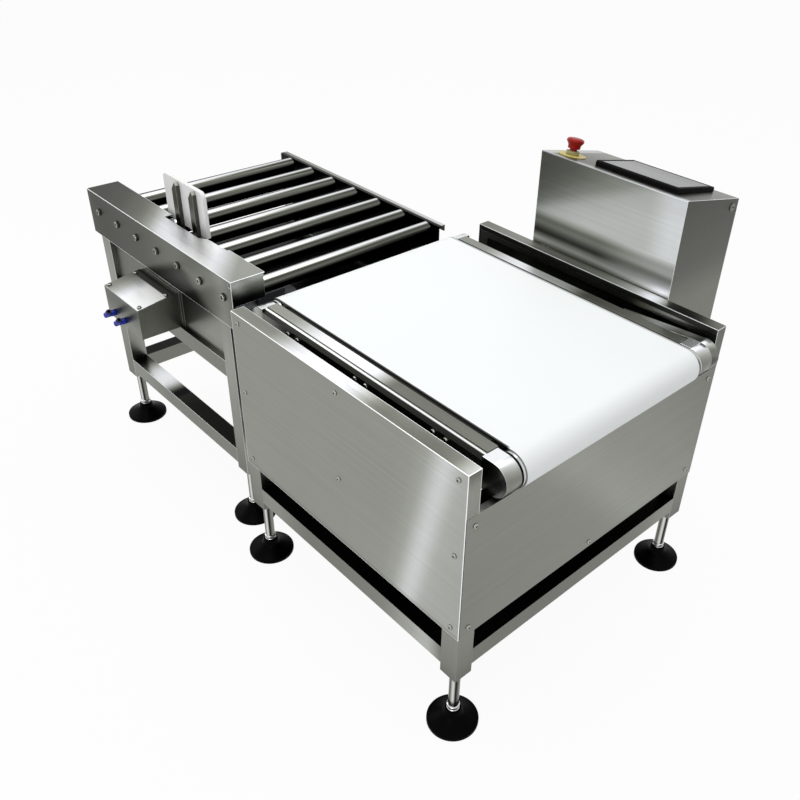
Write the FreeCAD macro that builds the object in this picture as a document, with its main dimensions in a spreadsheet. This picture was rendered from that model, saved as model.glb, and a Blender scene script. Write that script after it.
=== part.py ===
import FreeCAD, Part
import math
import os
import Sketcher
from types import SimpleNamespace
from FreeCAD import Placement, Rotation, Vector

# Checkweigher: a belt weigh conveyor on a load cell, a driven roller bed with a side pusher behind it,
# and a control cabinet on the far side. Millimetres. +X runs along the conveyor towards the end that
# products enter, +Y goes away from the covered near side, +Z is up.
# Positions are worked out from the entry end face of the weigh module (x = 0), the outer face of its
# near side cover (y = 0) and the floor (z = 0). The last step moves every sub-part so that the origin
# is at the middle of the whole machine, on the floor.

document = FreeCAD.newDocument("Checkweigher")
sheet = document.addObject("Spreadsheet::Sheet", "Sizes")

DRIVING_SIZES = {
    # weigh module frame
    "weigh_length": 650,
    "weigh_width": 700,
    "leg_side": 40,
    "tube_wall": 2,
    "bar_side": 25,
    "foot_plate": 8,
    "leg_bottom": 143.5,
    "low_rail_top": 204,
    "frame_top": 528,
    "mid_bar_top": 425,
    # weigh module covers
    "sheet_gauge": 1.5,
    "cover_top": 622.5,
    "cover_flange": 29,
    "cover_lip": 12,
    "panel_bottom": 257,
    "panel_top": 532,
    "panel_fold": 14,
    "corner_reveal": 3,
    "panel_gap": 1,
    "screw_radius": 3,
    "screw_head": 5.2,
    "screw_inset": 20.5,
    "screw_grip": 10,
    # weigh conveyor
    "belt_top": 608,
    "belt_radius": 35,
    "belt_gauge": 1.7,
    "belt_width": 482,
    "drive_inset": 11.4,
    "tail_overhang": 3,
    "block_radius": 32,
    "block_reach_drive": 25,
    "block_reach_tail": 8,
    "rail_offset": 65.5,
    "rail_width": 34.5,
    "rail_wall": 3,
    "rail_bevel_wide": 9.5,
    "rail_bevel_tall": 8,
    "strip_gauge": 1.5,
    "strip_lap": 2,
    "bearing_radius": 17.5,
    "bearing_width": 11,
    "shaft_radius": 7.5,
    "drum_wall": 4,
    "drum_hub": 10,
    "drum_gap": 3,
    "tie_wide": 50,
    "tie_tall": 20,
    "tie_top": 599.5,
    "tie_inset": 132,
    "tie_pitch": 204.5,
    "bolt_pitch": 30,
    "bed_gauge": 2,
    # load cell
    "cell_length": 150,
    "cell_width": 38,
    "cell_height": 40,
    "cell_bore": 13,
    "cell_bore_pitch": 44,
    "cell_slot": 4,
    "cell_pad": 6,
    "cell_seat": 50,
    "beam_width": 120,
    "beam_height": 39,
    "beam_gauge": 5,
    "platform_gauge": 6,
    "platform_start": 90,
    "platform_end": 450,
    # belt drive
    "motor_inset": 150,
    "motor_height": 500,
    "motor_radius": 28,
    "motor_length": 150,
    "motor_shaft": 6,
    "pulley_radius": 18,
    "pulley_width": 12,
    "pulley_offset": 6,
    "drive_belt_gauge": 1.7,
    "guard_width": 23,
    "guard_length": 208,
    "guard_drop": 17,
    # roller bed
    "module_gap": 90,
    "bed_length": 583,
    "bed_width": 570,
    "bed_setback": 43.5,
    "bed_leg_bottom": 138,
    "bed_leg_top": 540,
    "bed_low_rail_top": 192,
    "bed_mid_rail_top": 429,
    "bed_panel_inset": 10,
    "bed_tray_drop": 8.5,
    "bed_cover_gauge": 2,
    "bed_cover_top": 642,
    "bed_cover_bottom": 533,
    "bed_cover_depth": 79.5,
    "bed_cover_overhang": 30,
    "bed_cover_end_bottom": 586,
    "bed_rail_gauge": 3,
    "bed_rail_top": 615,
    "bed_rail_overhang": 34,
    "bed_rail_flange": 17,
    "bed_rail_lip": 15,
    "roller_count": 7,
    "roller_pitch": 92.6,
    "roller_start": 20.7,
    "roller_radius": 19,
    "roller_wall": 1.5,
    "roller_cap": 12,
    "roller_axis": 598,
    "roller_end_gap": 6,
    "axle_radius": 6,
    "groove_width": 9,
    "groove_first": 14,
    "groove_pitch": 14,
    "cord_gauge": 1.2,
    "axle_bolt_radius": 4,
    "axle_bolt_grip": 15,
    "bed_motor_drop": 118,
    "bed_motor_radius": 35,
    "bed_motor_length": 156,
    "bed_pulley_radius": 22,
    # notch in the bed cover and the pusher
    "notch_start": 437,
    "notch_length": 150,
    "notch_depth": 19,
    "notch_ramp": 89,
    "notch_ramp_depth": 7,
    "slider_side": 50,
    "slider_bottom": 455,
    "pusher_stroke": 400,
    "carriage_length": 70,
    "carriage_wall": 10,
    "slide_gap": 0.3,
    "arm_width": 20,
    "arm_gauge": 10,
    "arm_pitch": 71,
    "arm_top": 727,
    "arm_face": 130,
    "plate_length": 170,
    "plate_height": 105,
    "plate_gauge": 10,
    "plate_bottom": 625,
    "plate_round": 14,
    # valve box on the near side of the bed
    "valve_box_length": 159,
    "valve_box_start": 230,
    "valve_box_reach": 48,
    "valve_box_front_top": 500,
    "valve_box_rise": 13.5,
    "valve_box_wall": 2,
    "fitting_reach": 26,
    "fitting_radius": 7,
    "air_tube_radius": 3,
    # levelling feet
    "pad_radius": 50,
    "stem_radius": 8,
    "stem_play": 0.05,
    "stem_top": 30,
    "nut_flats": 24,
    "nut_thick": 10,
    # control cabinet
    "cabinet_gap": 2,
    "cabinet_length": 370,
    "cabinet_depth": 200,
    "cabinet_start": 138,
    "cabinet_bottom": 330,
    "cabinet_top": 830.8,
    "cabinet_drop": 41.6,
    "cabinet_wall": 2,
    "door_gauge": 1.5,
    "door_return": 14,
    "door_play": 4,
    "hinge_radius": 4,
    "hinge_pin": 2,
    "hinge_length": 18,
    "screen_unit_length": 206,
    "screen_unit_width": 141,
    "screen_unit_start": 45.5,
    "screen_unit_inset": 35,
    "screen_unit_height": 11,
    "screen_margin": 9,
    "screen_depth": 2,
    "screen_body_inset": 8,
    "screen_body_depth": 35,
    "stop_from_end": 45,
    "stop_inset": 49,
    "stop_plate_radius": 30,
    "stop_plate_gauge": 2,
    "stop_hole": 11.3,
    "stop_neck": 11,
    "stop_collar": 14.5,
    "stop_collar_top": 10,
    "stop_stem": 8,
    "stop_head": 19,
    "stop_waist": 13.5,
    "stop_head_height": 22,
    "stop_travel": 4.5,
    "lock_radius": 9,
    "lock_inset": 22,
    "lock_drop": 18,
}


class Size:
    """A length that keeps its spreadsheet expression beside its present value."""

    def __init__(self, text, value):
        self.text = text
        self.value = value

    def __add__(self, other):
        other = as_size(other)
        return Size("(%s + %s)" % (self.text, other.text), self.value + other.value)

    def __radd__(self, other):
        return as_size(other) + self

    def __sub__(self, other):
        other = as_size(other)
        return Size("(%s - %s)" % (self.text, other.text), self.value - other.value)

    def __rsub__(self, other):
        return as_size(other) - self

    def __mul__(self, other):
        other = as_size(other)
        return Size("(%s * %s)" % (self.text, other.text), self.value * other.value)

    def __rmul__(self, other):
        return as_size(other) * self

    def __truediv__(self, other):
        other = as_size(other)
        return Size("(%s / %s)" % (self.text, other.text), self.value / other.value)

    def __neg__(self):
        return Size("(0 - %s)" % self.text, -self.value)


def as_size(number):
    if isinstance(number, Size):
        return number
    return Size("%.4f" % number, float(number))


def fill_sheet():
    """Writes each driving size to its own row and returns them by name."""
    found = {}
    for row, (alias, number) in enumerate(DRIVING_SIZES.items(), 1):
        sheet.set("A%d" % row, alias)
        sheet.set("B%d" % row, str(number))
        sheet.setAlias("B%d" % row, alias)
        found[alias] = Size("Sizes." + alias, float(number))
    document.recompute()
    return SimpleNamespace(**found)


s = fill_sheet()
ZERO = as_size(0)

# Planes and heights that several sub-parts share.
weigh_exit = -s.weigh_length
weigh_mid_y = s.weigh_width / 2
post_low = s.sheet_gauge
post_high = s.sheet_gauge + s.leg_side
bar_high = s.sheet_gauge + s.bar_side
belt_axis = s.belt_top - s.belt_radius
drive_x = -s.drive_inset
tail_x = weigh_exit - s.tail_overhang
rail_inner = s.rail_offset + s.rail_width
rail_low = belt_axis - s.block_radius
rail_high = belt_axis + s.block_radius
bar_top = s.cover_top - s.sheet_gauge
bar_low = bar_top - s.bar_side
mid_bar_low = s.mid_bar_top - s.bar_side
low_bar_low = s.panel_bottom + s.sheet_gauge
bed_end = weigh_exit - s.module_gap
bed_far_end = bed_end - s.bed_length
bed_near = s.bed_setback
bed_far = s.bed_setback + s.bed_width
bed_cover_front = bed_near - s.bed_cover_gauge
bed_cover_back = bed_cover_front + s.bed_cover_depth
bed_web_far = bed_far - s.bed_rail_flange + s.bed_rail_gauge / 2
bed_web_inner = bed_web_far - s.bed_rail_gauge
bed_web_near = bed_near + s.bed_rail_gauge
roller_near = bed_web_near + 3.5
roller_far = bed_web_inner - s.roller_end_gap
slider_x = bed_far_end + s.roller_start + 3 * s.roller_pitch
slider_top = s.slider_bottom + s.slider_side
slider_near = bed_web_near + s.bed_cover_gauge + s.leg_side
valve_back = bed_near + s.bed_panel_inset
bed_panel_back = valve_back + s.sheet_gauge
cabinet_near = s.weigh_width + s.cabinet_gap
cabinet_far = cabinet_near + s.cabinet_depth
cabinet_high_x = -s.cabinet_start
cabinet_low_x = cabinet_high_x - s.cabinet_length

# Rotations that turn a piece made along +Z to another direction.
TURNS = {
    "Z": Rotation(),
    "-Z": Rotation(Vector(1, 0, 0), 180),
    "Y": Rotation(Vector(1, 0, 0), -90),
    "-Y": Rotation(Vector(1, 0, 0), 90),
    "X": Rotation(Vector(0, 1, 0), 90),
    "-X": Rotation(Vector(0, 1, 0), -90),
    "XZ": Rotation(Vector(0, 1, 0), 45),
}
PLANE_ROLES = {"XY": "XY_Plane", "XZ": "XZ_Plane", "YZ": "YZ_Plane"}

own_place = {}
sub_parts = []


def bind(thing, name, size):
    thing.setExpression(name, as_size(size).text)


def place(thing, point, direction="Z"):
    thing.Placement = Placement(Vector(0, 0, 0), TURNS[direction])
    own_place[thing.Name] = tuple(as_size(value) for value in point)
    for axis, value in zip("xyz", point):
        bind(thing, "Placement.Base." + axis, value)
    return thing


def box(x, y, z):
    """A block between two values on each axis."""
    block = document.addObject("Part::Box", "block")
    for name, (low, high) in (("Length", x), ("Width", y), ("Height", z)):
        bind(block, name, as_size(high) - low)
    return place(block, (x[0], y[0], z[0]))


def rod(direction, start, radius, length):
    """A round bar from a start point along a direction."""
    bar = document.addObject("Part::Cylinder", "rod")
    bind(bar, "Radius", radius)
    bind(bar, "Height", length)
    return place(bar, start, direction)


def prism(direction, start, radius, length, sides=6):
    """A bar with flat sides whose corners lie on a circle of the given radius."""
    bar = document.addObject("Part::Prism", "prism")
    bar.Polygon = sides
    bind(bar, "Circumradius", radius)
    bind(bar, "Height", length)
    return place(bar, start, direction)


def hexagon(direction, start, flats, length):
    """A six-sided bar with the given width across its flats."""
    return prism(direction, start, as_size(flats) / math.sqrt(3), length)


def cut(base, *tools):
    if not tools:
        return base
    tool = tools[0] if len(tools) == 1 else fuse(*tools)
    result = document.addObject("Part::Cut", "cut")
    result.Base = base
    result.Tool = tool
    return result


def fuse(*parts):
    if len(parts) == 1:
        return parts[0]
    result = document.addObject("Part::MultiFuse", "fuse")
    result.Shapes = list(parts)
    return result


def group(*parts):
    result = document.addObject("Part::Compound", "group")
    result.Links = list(parts)
    return result


def plane_of(body, plane):
    for feature in body.Origin.OriginFeatures:
        if feature.Role == PLANE_ROLES[plane]:
            return feature
    raise ValueError("no plane " + plane)


def arc_between(start, end, radius, left):
    """The shorter arc from start to end; left says that its centre is on the left of the way."""
    across = end - start
    half = across.Length / 2
    rise = math.sqrt(max(radius * radius - half * half, 0.0))
    side = Vector(-across.y, across.x, 0).normalize() * (rise if left else -rise)
    centre = (start + end) / 2 + side
    first, last = (start, end) if left else (end, start)
    begin = math.atan2(first.y - centre.y, first.x - centre.x)
    finish = math.atan2(last.y - centre.y, last.x - centre.x)
    if finish < begin:
        finish += 2 * math.pi
    return Part.ArcOfCircle(Part.Circle(centre, Vector(0, 0, 1), radius), begin, finish)


def outline(body, plane, offset, points):
    """A closed sketch. A point is (u, v), or (u, v, radius, left) where an arc leaves it."""
    sketch = body.newObject("Sketcher::SketchObject", "outline")
    sketch.AttachmentSupport = (plane_of(body, plane), [""])
    sketch.MapMode = "FlatFace"
    bind(sketch, "AttachmentOffset.Base.z", offset)
    corners = [(as_size(point[0]), as_size(point[1])) for point in points]
    spots = [Vector(u.value, v.value, 0) for u, v in corners]
    count = len(points)
    ends = []
    for index, point in enumerate(points):
        start, end = spots[index], spots[(index + 1) % count]
        if len(point) == 2:
            sketch.addGeometry(Part.LineSegment(start, end), False)
            ends.append((1, 2))
        else:
            radius, left = as_size(point[2]), point[3]
            sketch.addGeometry(arc_between(start, end, radius.value, left), False)
            rule = sketch.addConstraint(Sketcher.Constraint("Radius", index, radius.value))
            sketch.setExpression("Constraints[%d]" % rule, radius.text)
            ends.append((1, 2) if left else (2, 1))
    for index in range(count):
        after = (index + 1) % count
        sketch.addConstraint(Sketcher.Constraint("Coincident", index, ends[index][1], after, ends[after][0]))
    for index, (u, v) in enumerate(corners):
        for kind, size in (("DistanceX", u), ("DistanceY", v)):
            rule = sketch.addConstraint(Sketcher.Constraint(kind, -1, 1, index, ends[index][0], size.value))
            sketch.setExpression("Constraints[%d]" % rule, size.text)
    return sketch


def extrusion(plane, low, high, points):
    """A body padded from a closed outline between two values on the axis across its plane."""
    body = document.addObject("PartDesign::Body", "extrusion")
    low = as_size(low)
    sketch = outline(body, plane, -low if plane == "XZ" else low, points)
    pad = body.newObject("PartDesign::Pad", "pad")
    pad.Profile = sketch
    pad.Reversed = plane == "XZ"
    bind(pad, "Length", as_size(high) - low)
    return place(body, (ZERO, ZERO, ZERO))


def turned(direction, start, points):
    """A body turned about its axis; the points are (radius, distance along the axis)."""
    body = document.addObject("PartDesign::Body", "turned")
    sketch = outline(body, "XZ", 0, points)
    revolution = body.newObject("PartDesign::Revolution", "turn")
    revolution.Profile = sketch
    revolution.ReferenceAxis = (sketch, ["V_Axis"])
    revolution.Angle = 360
    return place(body, start, direction)


def tube(axis, x, y, z):
    """A square or rectangular tube, open at both ends."""
    wall = s.tube_wall
    inner = []
    for name, (low, high) in zip("XYZ", (x, y, z)):
        low, high = as_size(low), as_size(high)
        inner.append((low, high) if name == axis else (low + wall, high - wall))
    return cut(box(x, y, z), box(*inner))


def loop(low, high, first, last, gauge, flats=6):
    """A flat endless belt along XZ round two circles (x, z, inner radius), between two y values. Each
    of its bends is a row of short flats."""
    rings = []
    for extra in (gauge.value, 0.0):
        one = Vector(first[0].value, 0, first[1].value)
        two = Vector(last[0].value, 0, last[1].value)
        spread = math.cos(math.pi / 2 / flats)
        radii = [(circle[2].value + extra) / spread for circle in (first, last)]
        heading = math.atan2(two.z - one.z, two.x - one.x)
        points = []
        for centre, radius, turn in ((one, radii[0], 0.5), (two, radii[1], -0.5)):
            for index in range(flats + 1):
                angle = heading + math.pi * (turn + index / flats)
                points.append(centre + Vector(math.cos(angle), 0, math.sin(angle)) * radius)
        rings.append(Part.makePolygon(points + points[:1]))
    ring = Part.Face(rings[0]).cut(Part.Face(rings[1])).Faces[0]
    solid = ring.extrude(Vector(0, high.value - low.value, 0))
    belt = document.addObject("Part::Feature", "loop")
    belt.Shape = solid
    return place(belt, (ZERO, low, ZERO))


def sub_part(label, *pieces, slope=False):
    """Names a finished sub-part and moves it to the machine's frame. A sloped one is built flat on
    the cabinet's top, with its y along the slope, and is tilted here."""
    thing = pieces[0]
    if len(pieces) > 1 or (slope and thing.Name in own_place):
        thing = group(*pieces)
    thing.Label = label
    own = own_place.get(thing.Name, (ZERO, ZERO, ZERO))
    shift = [origin_x, origin_y, ZERO]
    if slope:
        thing.Placement = Placement(Vector(0, 0, 0), Rotation(Vector(-1, 0, 0), 1))
        bind(thing, "Placement.Rotation.Angle", top_slope)
        shift[1] = shift[1] + cabinet_near
        shift[2] = shift[2] + s.cabinet_top
    for axis, move, base in zip("xyz", shift, own):
        bind(thing, "Placement.Base." + axis, move + base)
    sub_parts.append(thing)
    return thing


# The machine's middle: half way between the bed rail's far end and the foot pads at the entry end,
# and half way between the air fittings and the cabinet door.
reach_left = s.weigh_length + s.module_gap + s.bed_length + s.bed_rail_overhang
reach_right = s.pad_radius - s.leg_side / 2 - s.sheet_gauge
origin_x = (reach_left - reach_right) / 2
origin_y = (s.valve_box_reach + s.fitting_reach - cabinet_far) / 2
slope_tangent = s.cabinet_drop / s.cabinet_depth
top_slope = Size("atan(%s)" % slope_tangent.text, math.degrees(math.atan(slope_tangent.value)))


def across(low, high):
    """The same y range on the near and the far side of the weigh module."""
    return ((low, high), (s.weigh_width - high, s.weigh_width - low))


def along(low, high):
    """The same x range at the entry and the exit end of the weigh module."""
    return ((-high, -low), (weigh_exit + low, weigh_exit + high))


def cover_screw_spots():
    """Where the cover screws go in, and the way their heads face."""
    corner_z = (s.cover_top - s.screw_inset, (s.mid_bar_top + s.frame_top) / 2 - 32, s.panel_bottom + 19)
    middle_z = (s.cover_top - s.screw_inset, s.mid_bar_top - s.bar_side / 2)
    spots = []
    for x in (-s.screw_inset, weigh_exit + s.screw_inset):
        for z in corner_z:
            spots.append(((x, ZERO, z), "-Y"))
            spots.append(((x, s.weigh_width, z), "Y"))
    for z in middle_z:
        spots.append(((weigh_exit / 2, ZERO, z), "-Y"))
    panel_y = (s.screw_inset + 2.5, s.weigh_width - s.screw_inset - 2.5)
    for x, out in ((ZERO, "X"), (weigh_exit, "-X")):
        for y in panel_y:
            spots.append(((x, y, s.panel_top - 22), out))
            spots.append(((x, y, s.panel_bottom + 19), out))
        spots.append(((x, weigh_mid_y, s.panel_bottom + 13), out))
    return spots


def cabinet_bolt_spots():
    """Where the cabinet is bolted through the far side cover, seen at the cabinet's inner face."""
    spots = []
    for x in (cabinet_low_x + 48, cabinet_high_x - 48):
        for z in (bar_low + s.bar_side / 2, mid_bar_low + s.bar_side / 2):
            spots.append(((x, cabinet_near + s.cabinet_wall, z), "Y"))
    return spots


OPPOSITE = {"X": "-X", "-X": "X", "Y": "-Y", "-Y": "Y", "Z": "-Z", "-Z": "Z"}
STEP = {"X": (1, 0, 0), "-X": (-1, 0, 0), "Y": (0, 1, 0), "-Y": (0, -1, 0), "Z": (0, 0, 1), "-Z": (0, 0, -1)}


def moved(point, direction, distance):
    return tuple(value + distance * step for value, step in zip(point, STEP[direction]))


def drill(spot, radius, depth):
    """A hole from just outside a spot's face inwards; like the shank in it, it has six flat sides."""
    point, out = spot
    return hexagon(OPPOSITE[out], moved(point, out, as_size(1)), 2 * radius, as_size(depth) + 1)


def screw(spot, shank_length):
    """A button-head cover screw."""
    point, out = spot
    head = prism(out, point, s.screw_head, s.screw_head / 2, 8)
    return fuse(head, prism(OPPOSITE[out], point, s.screw_radius, shank_length))


def hex_bolt(spot, flats, head_height, radius, shank_length):
    point, out = spot
    head = hexagon(out, point, flats, head_height)
    return fuse(head, prism(OPPOSITE[out], point, radius, shank_length))


def drilled(solid, x, y, z):
    """Cuts the screw and bolt holes that meet a tube's outer face, through its first wall."""
    tools = []
    depth = s.sheet_gauge + s.tube_wall + 1
    for spot in cover_screw_spots():
        if meets(spot, x, y, z, 2.5):
            tools.append(drill(spot, s.screw_radius + s.stem_play, depth))
    for spot in cabinet_bolt_spots():
        if meets(spot, x, y, z, 6.5):
            reach = depth + s.cabinet_gap + s.cabinet_wall
            tools.append(drill(spot, s.axle_bolt_radius + s.stem_play, reach))
    return cut(solid, *tools)


def meets(spot, x, y, z, reach):
    point, out = spot
    for value, (low, high), step in zip(point, (x, y, z), STEP[out]):
        slack = reach if step else -1
        if not as_size(low).value - slack < value.value < as_size(high).value + slack:
            return False
    return True


def leg(x, y, low, high):
    """A square tube leg closed at its foot by a threaded plate."""
    wall = s.tube_wall
    inner = box((x[0] + wall, x[1] - wall), (y[0] + wall, y[1] - wall), (low + s.foot_plate, high))
    centre = ((x[0] + x[1]) / 2, (y[0] + y[1]) / 2)
    flats = 2 * (s.stem_radius + s.stem_play)
    thread = hexagon("Z", (centre[0], centre[1], low - 1), flats, s.foot_plate + 2)
    return cut(box(x, y, (low, high)), inner, thread)


def weigh_leg_spans():
    return [(x, y) for x in along(post_low, post_high) for y in across(post_low, post_high)]


def bed_leg_spans():
    ends = ((bed_far_end, bed_far_end + s.leg_side), (bed_end - s.leg_side, bed_end))
    sides = ((bed_near, bed_near + s.leg_side), (bed_far - s.leg_side, bed_far))
    return [(x, y) for x in ends for y in sides]


def make_weigh_legs():
    legs = []
    for x, y in weigh_leg_spans():
        legs.append(drilled(leg(x, y, s.leg_bottom, s.frame_top), x, y, (s.leg_bottom, s.frame_top)))
    sub_part("weigh_legs", *legs)


def make_weigh_rails():
    """Rails and bars between the legs, and the bars that hold the side covers up."""
    rails = []
    between_x = (weigh_exit + post_high, -post_high)
    between_y = (post_high, s.weigh_width - post_high)
    levels = (
        (s.low_rail_top - s.leg_side, s.low_rail_top, post_high),
        (s.frame_top - s.leg_side, s.frame_top, post_high),
        (low_bar_low, low_bar_low + s.bar_side, bar_high),
    )
    for low, high, inner in levels:
        for y in across(post_low, inner):
            rails.append(drilled(tube("X", between_x, y, (low, high)), between_x, y, (low, high)))
        for x in along(post_low, inner):
            rails.append(drilled(tube("Y", x, between_y, (low, high)), x, between_y, (low, high)))
    for y in across(post_low, bar_high):
        z = (mid_bar_low, s.mid_bar_top)
        rails.append(drilled(tube("X", between_x, y, z), between_x, y, z))
        whole_x = (weigh_exit + post_low, -post_low)
        z = (bar_low, bar_top)
        rails.append(drilled(tube("X", whole_x, y, z), whole_x, y, z))
        for x in along(post_low, bar_high):
            rails.append(tube("Z", x, y, (s.frame_top, bar_low)))
    sub_part("weigh_rails", *rails)


def side_cover(side):
    """A folded side cover: face, top flange, inner lip and a return at each end."""
    def y_at(value):
        return value if side == "near" else s.weigh_width - value

    gauge = s.sheet_gauge
    folded = extrusion("YZ", weigh_exit, ZERO, [
        (y_at(ZERO), s.panel_bottom),
        (y_at(gauge), s.panel_bottom),
        (y_at(gauge), s.cover_top - gauge),
        (y_at(s.cover_flange - gauge), s.cover_top - gauge),
        (y_at(s.cover_flange - gauge), s.cover_top - s.cover_lip),
        (y_at(s.cover_flange), s.cover_top - s.cover_lip),
        (y_at(s.cover_flange), s.cover_top),
        (y_at(ZERO), s.cover_top),
    ])
    span = (ZERO, s.cover_flange) if side == "near" else (s.weigh_width - s.cover_flange, s.weigh_width)
    returns = [box(x, span, (s.panel_top + s.panel_gap, s.cover_top)) for x in along(ZERO, gauge)]
    out = "-Y" if side == "near" else "Y"
    holes = [drill(spot, s.screw_radius + 0.3, gauge + 1) for spot in cover_screw_spots() if spot[1] == out]
    if side == "far":
        depth = s.cabinet_wall + s.cabinet_gap + gauge + 1
        holes += [drill(spot, s.axle_bolt_radius + 0.4, depth) for spot in cabinet_bolt_spots()]
    return cut(fuse(folded, *returns), *holes)


def make_side_covers():
    sub_part("near_side_cover", side_cover("near"))
    sub_part("far_side_cover", side_cover("far"))


def make_end_panels():
    """Flat end panels with a fold along the top between the cover bars."""
    panels = []
    for x, fold_x, out in (
        ((-s.sheet_gauge, ZERO), (-s.panel_fold, ZERO), "X"),
        ((weigh_exit, weigh_exit + s.sheet_gauge), (weigh_exit, weigh_exit + s.panel_fold), "-X"),
    ):
        face_y = (s.corner_reveal, s.weigh_width - s.corner_reveal)
        fold_y = (s.cover_flange + s.corner_reveal, s.weigh_width - s.cover_flange - s.corner_reveal)
        face = box(x, face_y, (s.panel_bottom, s.panel_top))
        fold = box(fold_x, fold_y, (s.panel_top - s.sheet_gauge, s.panel_top))
        holes = [drill(spot, s.screw_radius + 0.3, s.sheet_gauge + 1)
                 for spot in cover_screw_spots() if spot[1] == out]
        panels.append(cut(fuse(face, fold), *holes))
    sub_part("end_panels", *panels)


def make_cover_screws():
    """Button-head screws of the covers and of the valve box lid."""
    screws = [screw(spot, s.screw_grip) for spot in cover_screw_spots()]
    screws += [screw((point, "Z"), s.screw_grip) for point in lid_screw_spots()]
    sub_part("cover_screws", *screws)


def make_load_cell_beam():
    """A channel across the frame, resting on the middle bars, with the load cell's fixed seat on it."""
    gauge = s.beam_gauge
    low = s.mid_bar_top
    high = low + s.beam_height
    left = cell_low_x() - gauge
    right = left + s.beam_width
    channel = extrusion("XZ", post_low, s.weigh_width - post_low, [
        (left, low), (left + gauge, low), (left + gauge, high - gauge), (right - gauge, high - gauge),
        (right - gauge, low), (right, low), (right, high), (left, high),
    ])
    seat = box((cell_low_x(), cell_low_x() + s.cell_seat), cell_span_y(), (high, high + s.cell_pad))
    sub_part("load_cell_beam", fuse(channel, seat))


def cell_low_x():
    return weigh_exit / 2 - s.cell_length / 2


def cell_span_y():
    return (weigh_mid_y - s.cell_width / 2, weigh_mid_y + s.cell_width / 2)


def cell_low_z():
    return s.mid_bar_top + s.beam_height + s.cell_pad


def platform_low_z():
    return cell_low_z() + s.cell_height + s.cell_pad


def make_load_cell():
    """A single-point cell: two bores joined by a slot leave thin bending walls above and below."""
    low, high = cell_low_z(), cell_low_z() + s.cell_height
    centre_z = (low + high) / 2
    start_y, end_y = cell_span_y()
    body = box((cell_low_x(), cell_low_x() + s.cell_length), cell_span_y(), (low, high))
    tools = []
    for side in (-0.5, 0.5):
        x = weigh_exit / 2 + s.cell_bore_pitch * side
        tools.append(rod("Y", (x, start_y - 1, centre_z), s.cell_bore, s.cell_width + 2))
    slot_x = (weigh_exit / 2 - s.cell_bore_pitch / 2, weigh_exit / 2 + s.cell_bore_pitch / 2)
    slot_z = (centre_z - s.cell_slot / 2, centre_z + s.cell_slot / 2)
    tools.append(box(slot_x, (start_y - 1, end_y + 1), slot_z))
    sub_part("load_cell", cut(body, *tools))


def make_weigh_platform():
    """A tray that carries the conveyor on the load cell's free end."""
    low = platform_low_z()
    gauge = s.platform_gauge
    left, right = s.rail_offset, s.weigh_width - s.rail_offset
    x = (-s.platform_end - s.platform_start - 20, -s.platform_start - 110)
    tray = extrusion("YZ", x[0], x[1], [
        (left, low), (right, low), (right, rail_low), (right - gauge, rail_low), (right - gauge, low + gauge),
        (left + gauge, low + gauge), (left + gauge, rail_low), (left, rail_low),
    ])
    high_x = cell_low_x() + s.cell_length
    seat = box((high_x - s.cell_seat, high_x), cell_span_y(), (low - s.cell_pad, low))
    windows = []
    for side in (-1, 1):
        middle = weigh_mid_y + side * (s.weigh_width / 4 - 10)
        windows.append(box((x[0] + 50, x[1] - 50), (middle - 60, middle + 60), (low - 1, low + gauge + 1)))
    sub_part("weigh_platform", cut(fuse(tray, seat), *windows))


def rail_profile(side, inset):
    """The conveyor rail's section with its bevelled outer top edge."""
    def y_at(value):
        return value if side == "near" else s.weigh_width - value

    outer, inner = s.rail_offset + inset, rail_inner - inset
    low, high = rail_low + inset, rail_high - inset
    bevel = inset * 0.4
    return [
        (y_at(outer), low), (y_at(inner), low), (y_at(inner), high),
        (y_at(outer + s.rail_bevel_wide - bevel), high), (y_at(outer), high - s.rail_bevel_tall + bevel),
    ]


def tie_centres():
    return [-s.tie_inset - s.tie_pitch * index for index in range(3)]


def rail_bolt_spots():
    spots = []
    for centre in tie_centres():
        for side in (-0.5, 0.5):
            x = centre + s.bolt_pitch * side
            z = s.tie_top - s.tie_tall / 2
            spots.append(((x, s.rail_offset, z), "-Y"))
            if x.value < -s.guard_length.value - 8:
                spots.append(((x, s.weigh_width - s.rail_offset, z), "Y"))
    return spots


def make_conveyor_rails():
    """Two hollow rails, each notched at its tail end round the drum's bearing."""
    rails = []
    x = (tail_x + s.block_reach_tail, drive_x - s.block_reach_drive)
    for side, out, face in (("near", "-Y", rail_inner), ("far", "Y", s.weigh_width - rail_inner)):
        outer = extrusion("YZ", x[0], x[1], rail_profile(side, ZERO))
        inner = extrusion("YZ", x[0], x[1], rail_profile(side, s.rail_wall))
        spots = [spot for spot in rail_bolt_spots() if spot[1] == out]
        holes = [drill(spot, s.screw_radius + 0.1, s.rail_wall + 1) for spot in spots]
        start = moved((tail_x, face, belt_axis), OPPOSITE[out], as_size(1))
        notch = rod(out, start, s.bearing_radius + 0.3, s.bearing_width + 2)
        rails.append(cut(outer, inner, notch, *holes))
    sub_part("conveyor_rails", *rails)


def make_rail_strips():
    """Thin strips that cover the gap between each rail's top and the belt."""
    strips = []
    x = (tail_x + s.block_reach_tail, drive_x - s.block_reach_drive)
    for y in across(s.rail_offset + s.rail_bevel_wide + 3, rail_inner + s.strip_lap):
        strips.append(box(x, y, (rail_high, rail_high + s.strip_gauge)))
    sub_part("rail_strips", *strips)


def block_profile(axis_x, reach, way):
    """A round nose about a shaft and a square tail that meets the rail; way is 1 for the entry end."""
    radius = s.block_radius
    tail = axis_x - reach * way
    left = way > 0
    return [
        (tail, belt_axis - radius),
        (axis_x, belt_axis - radius, radius, left),
        (axis_x + radius * way, belt_axis, radius, left),
        (axis_x, belt_axis + radius),
        (tail, belt_axis + radius),
    ]


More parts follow.
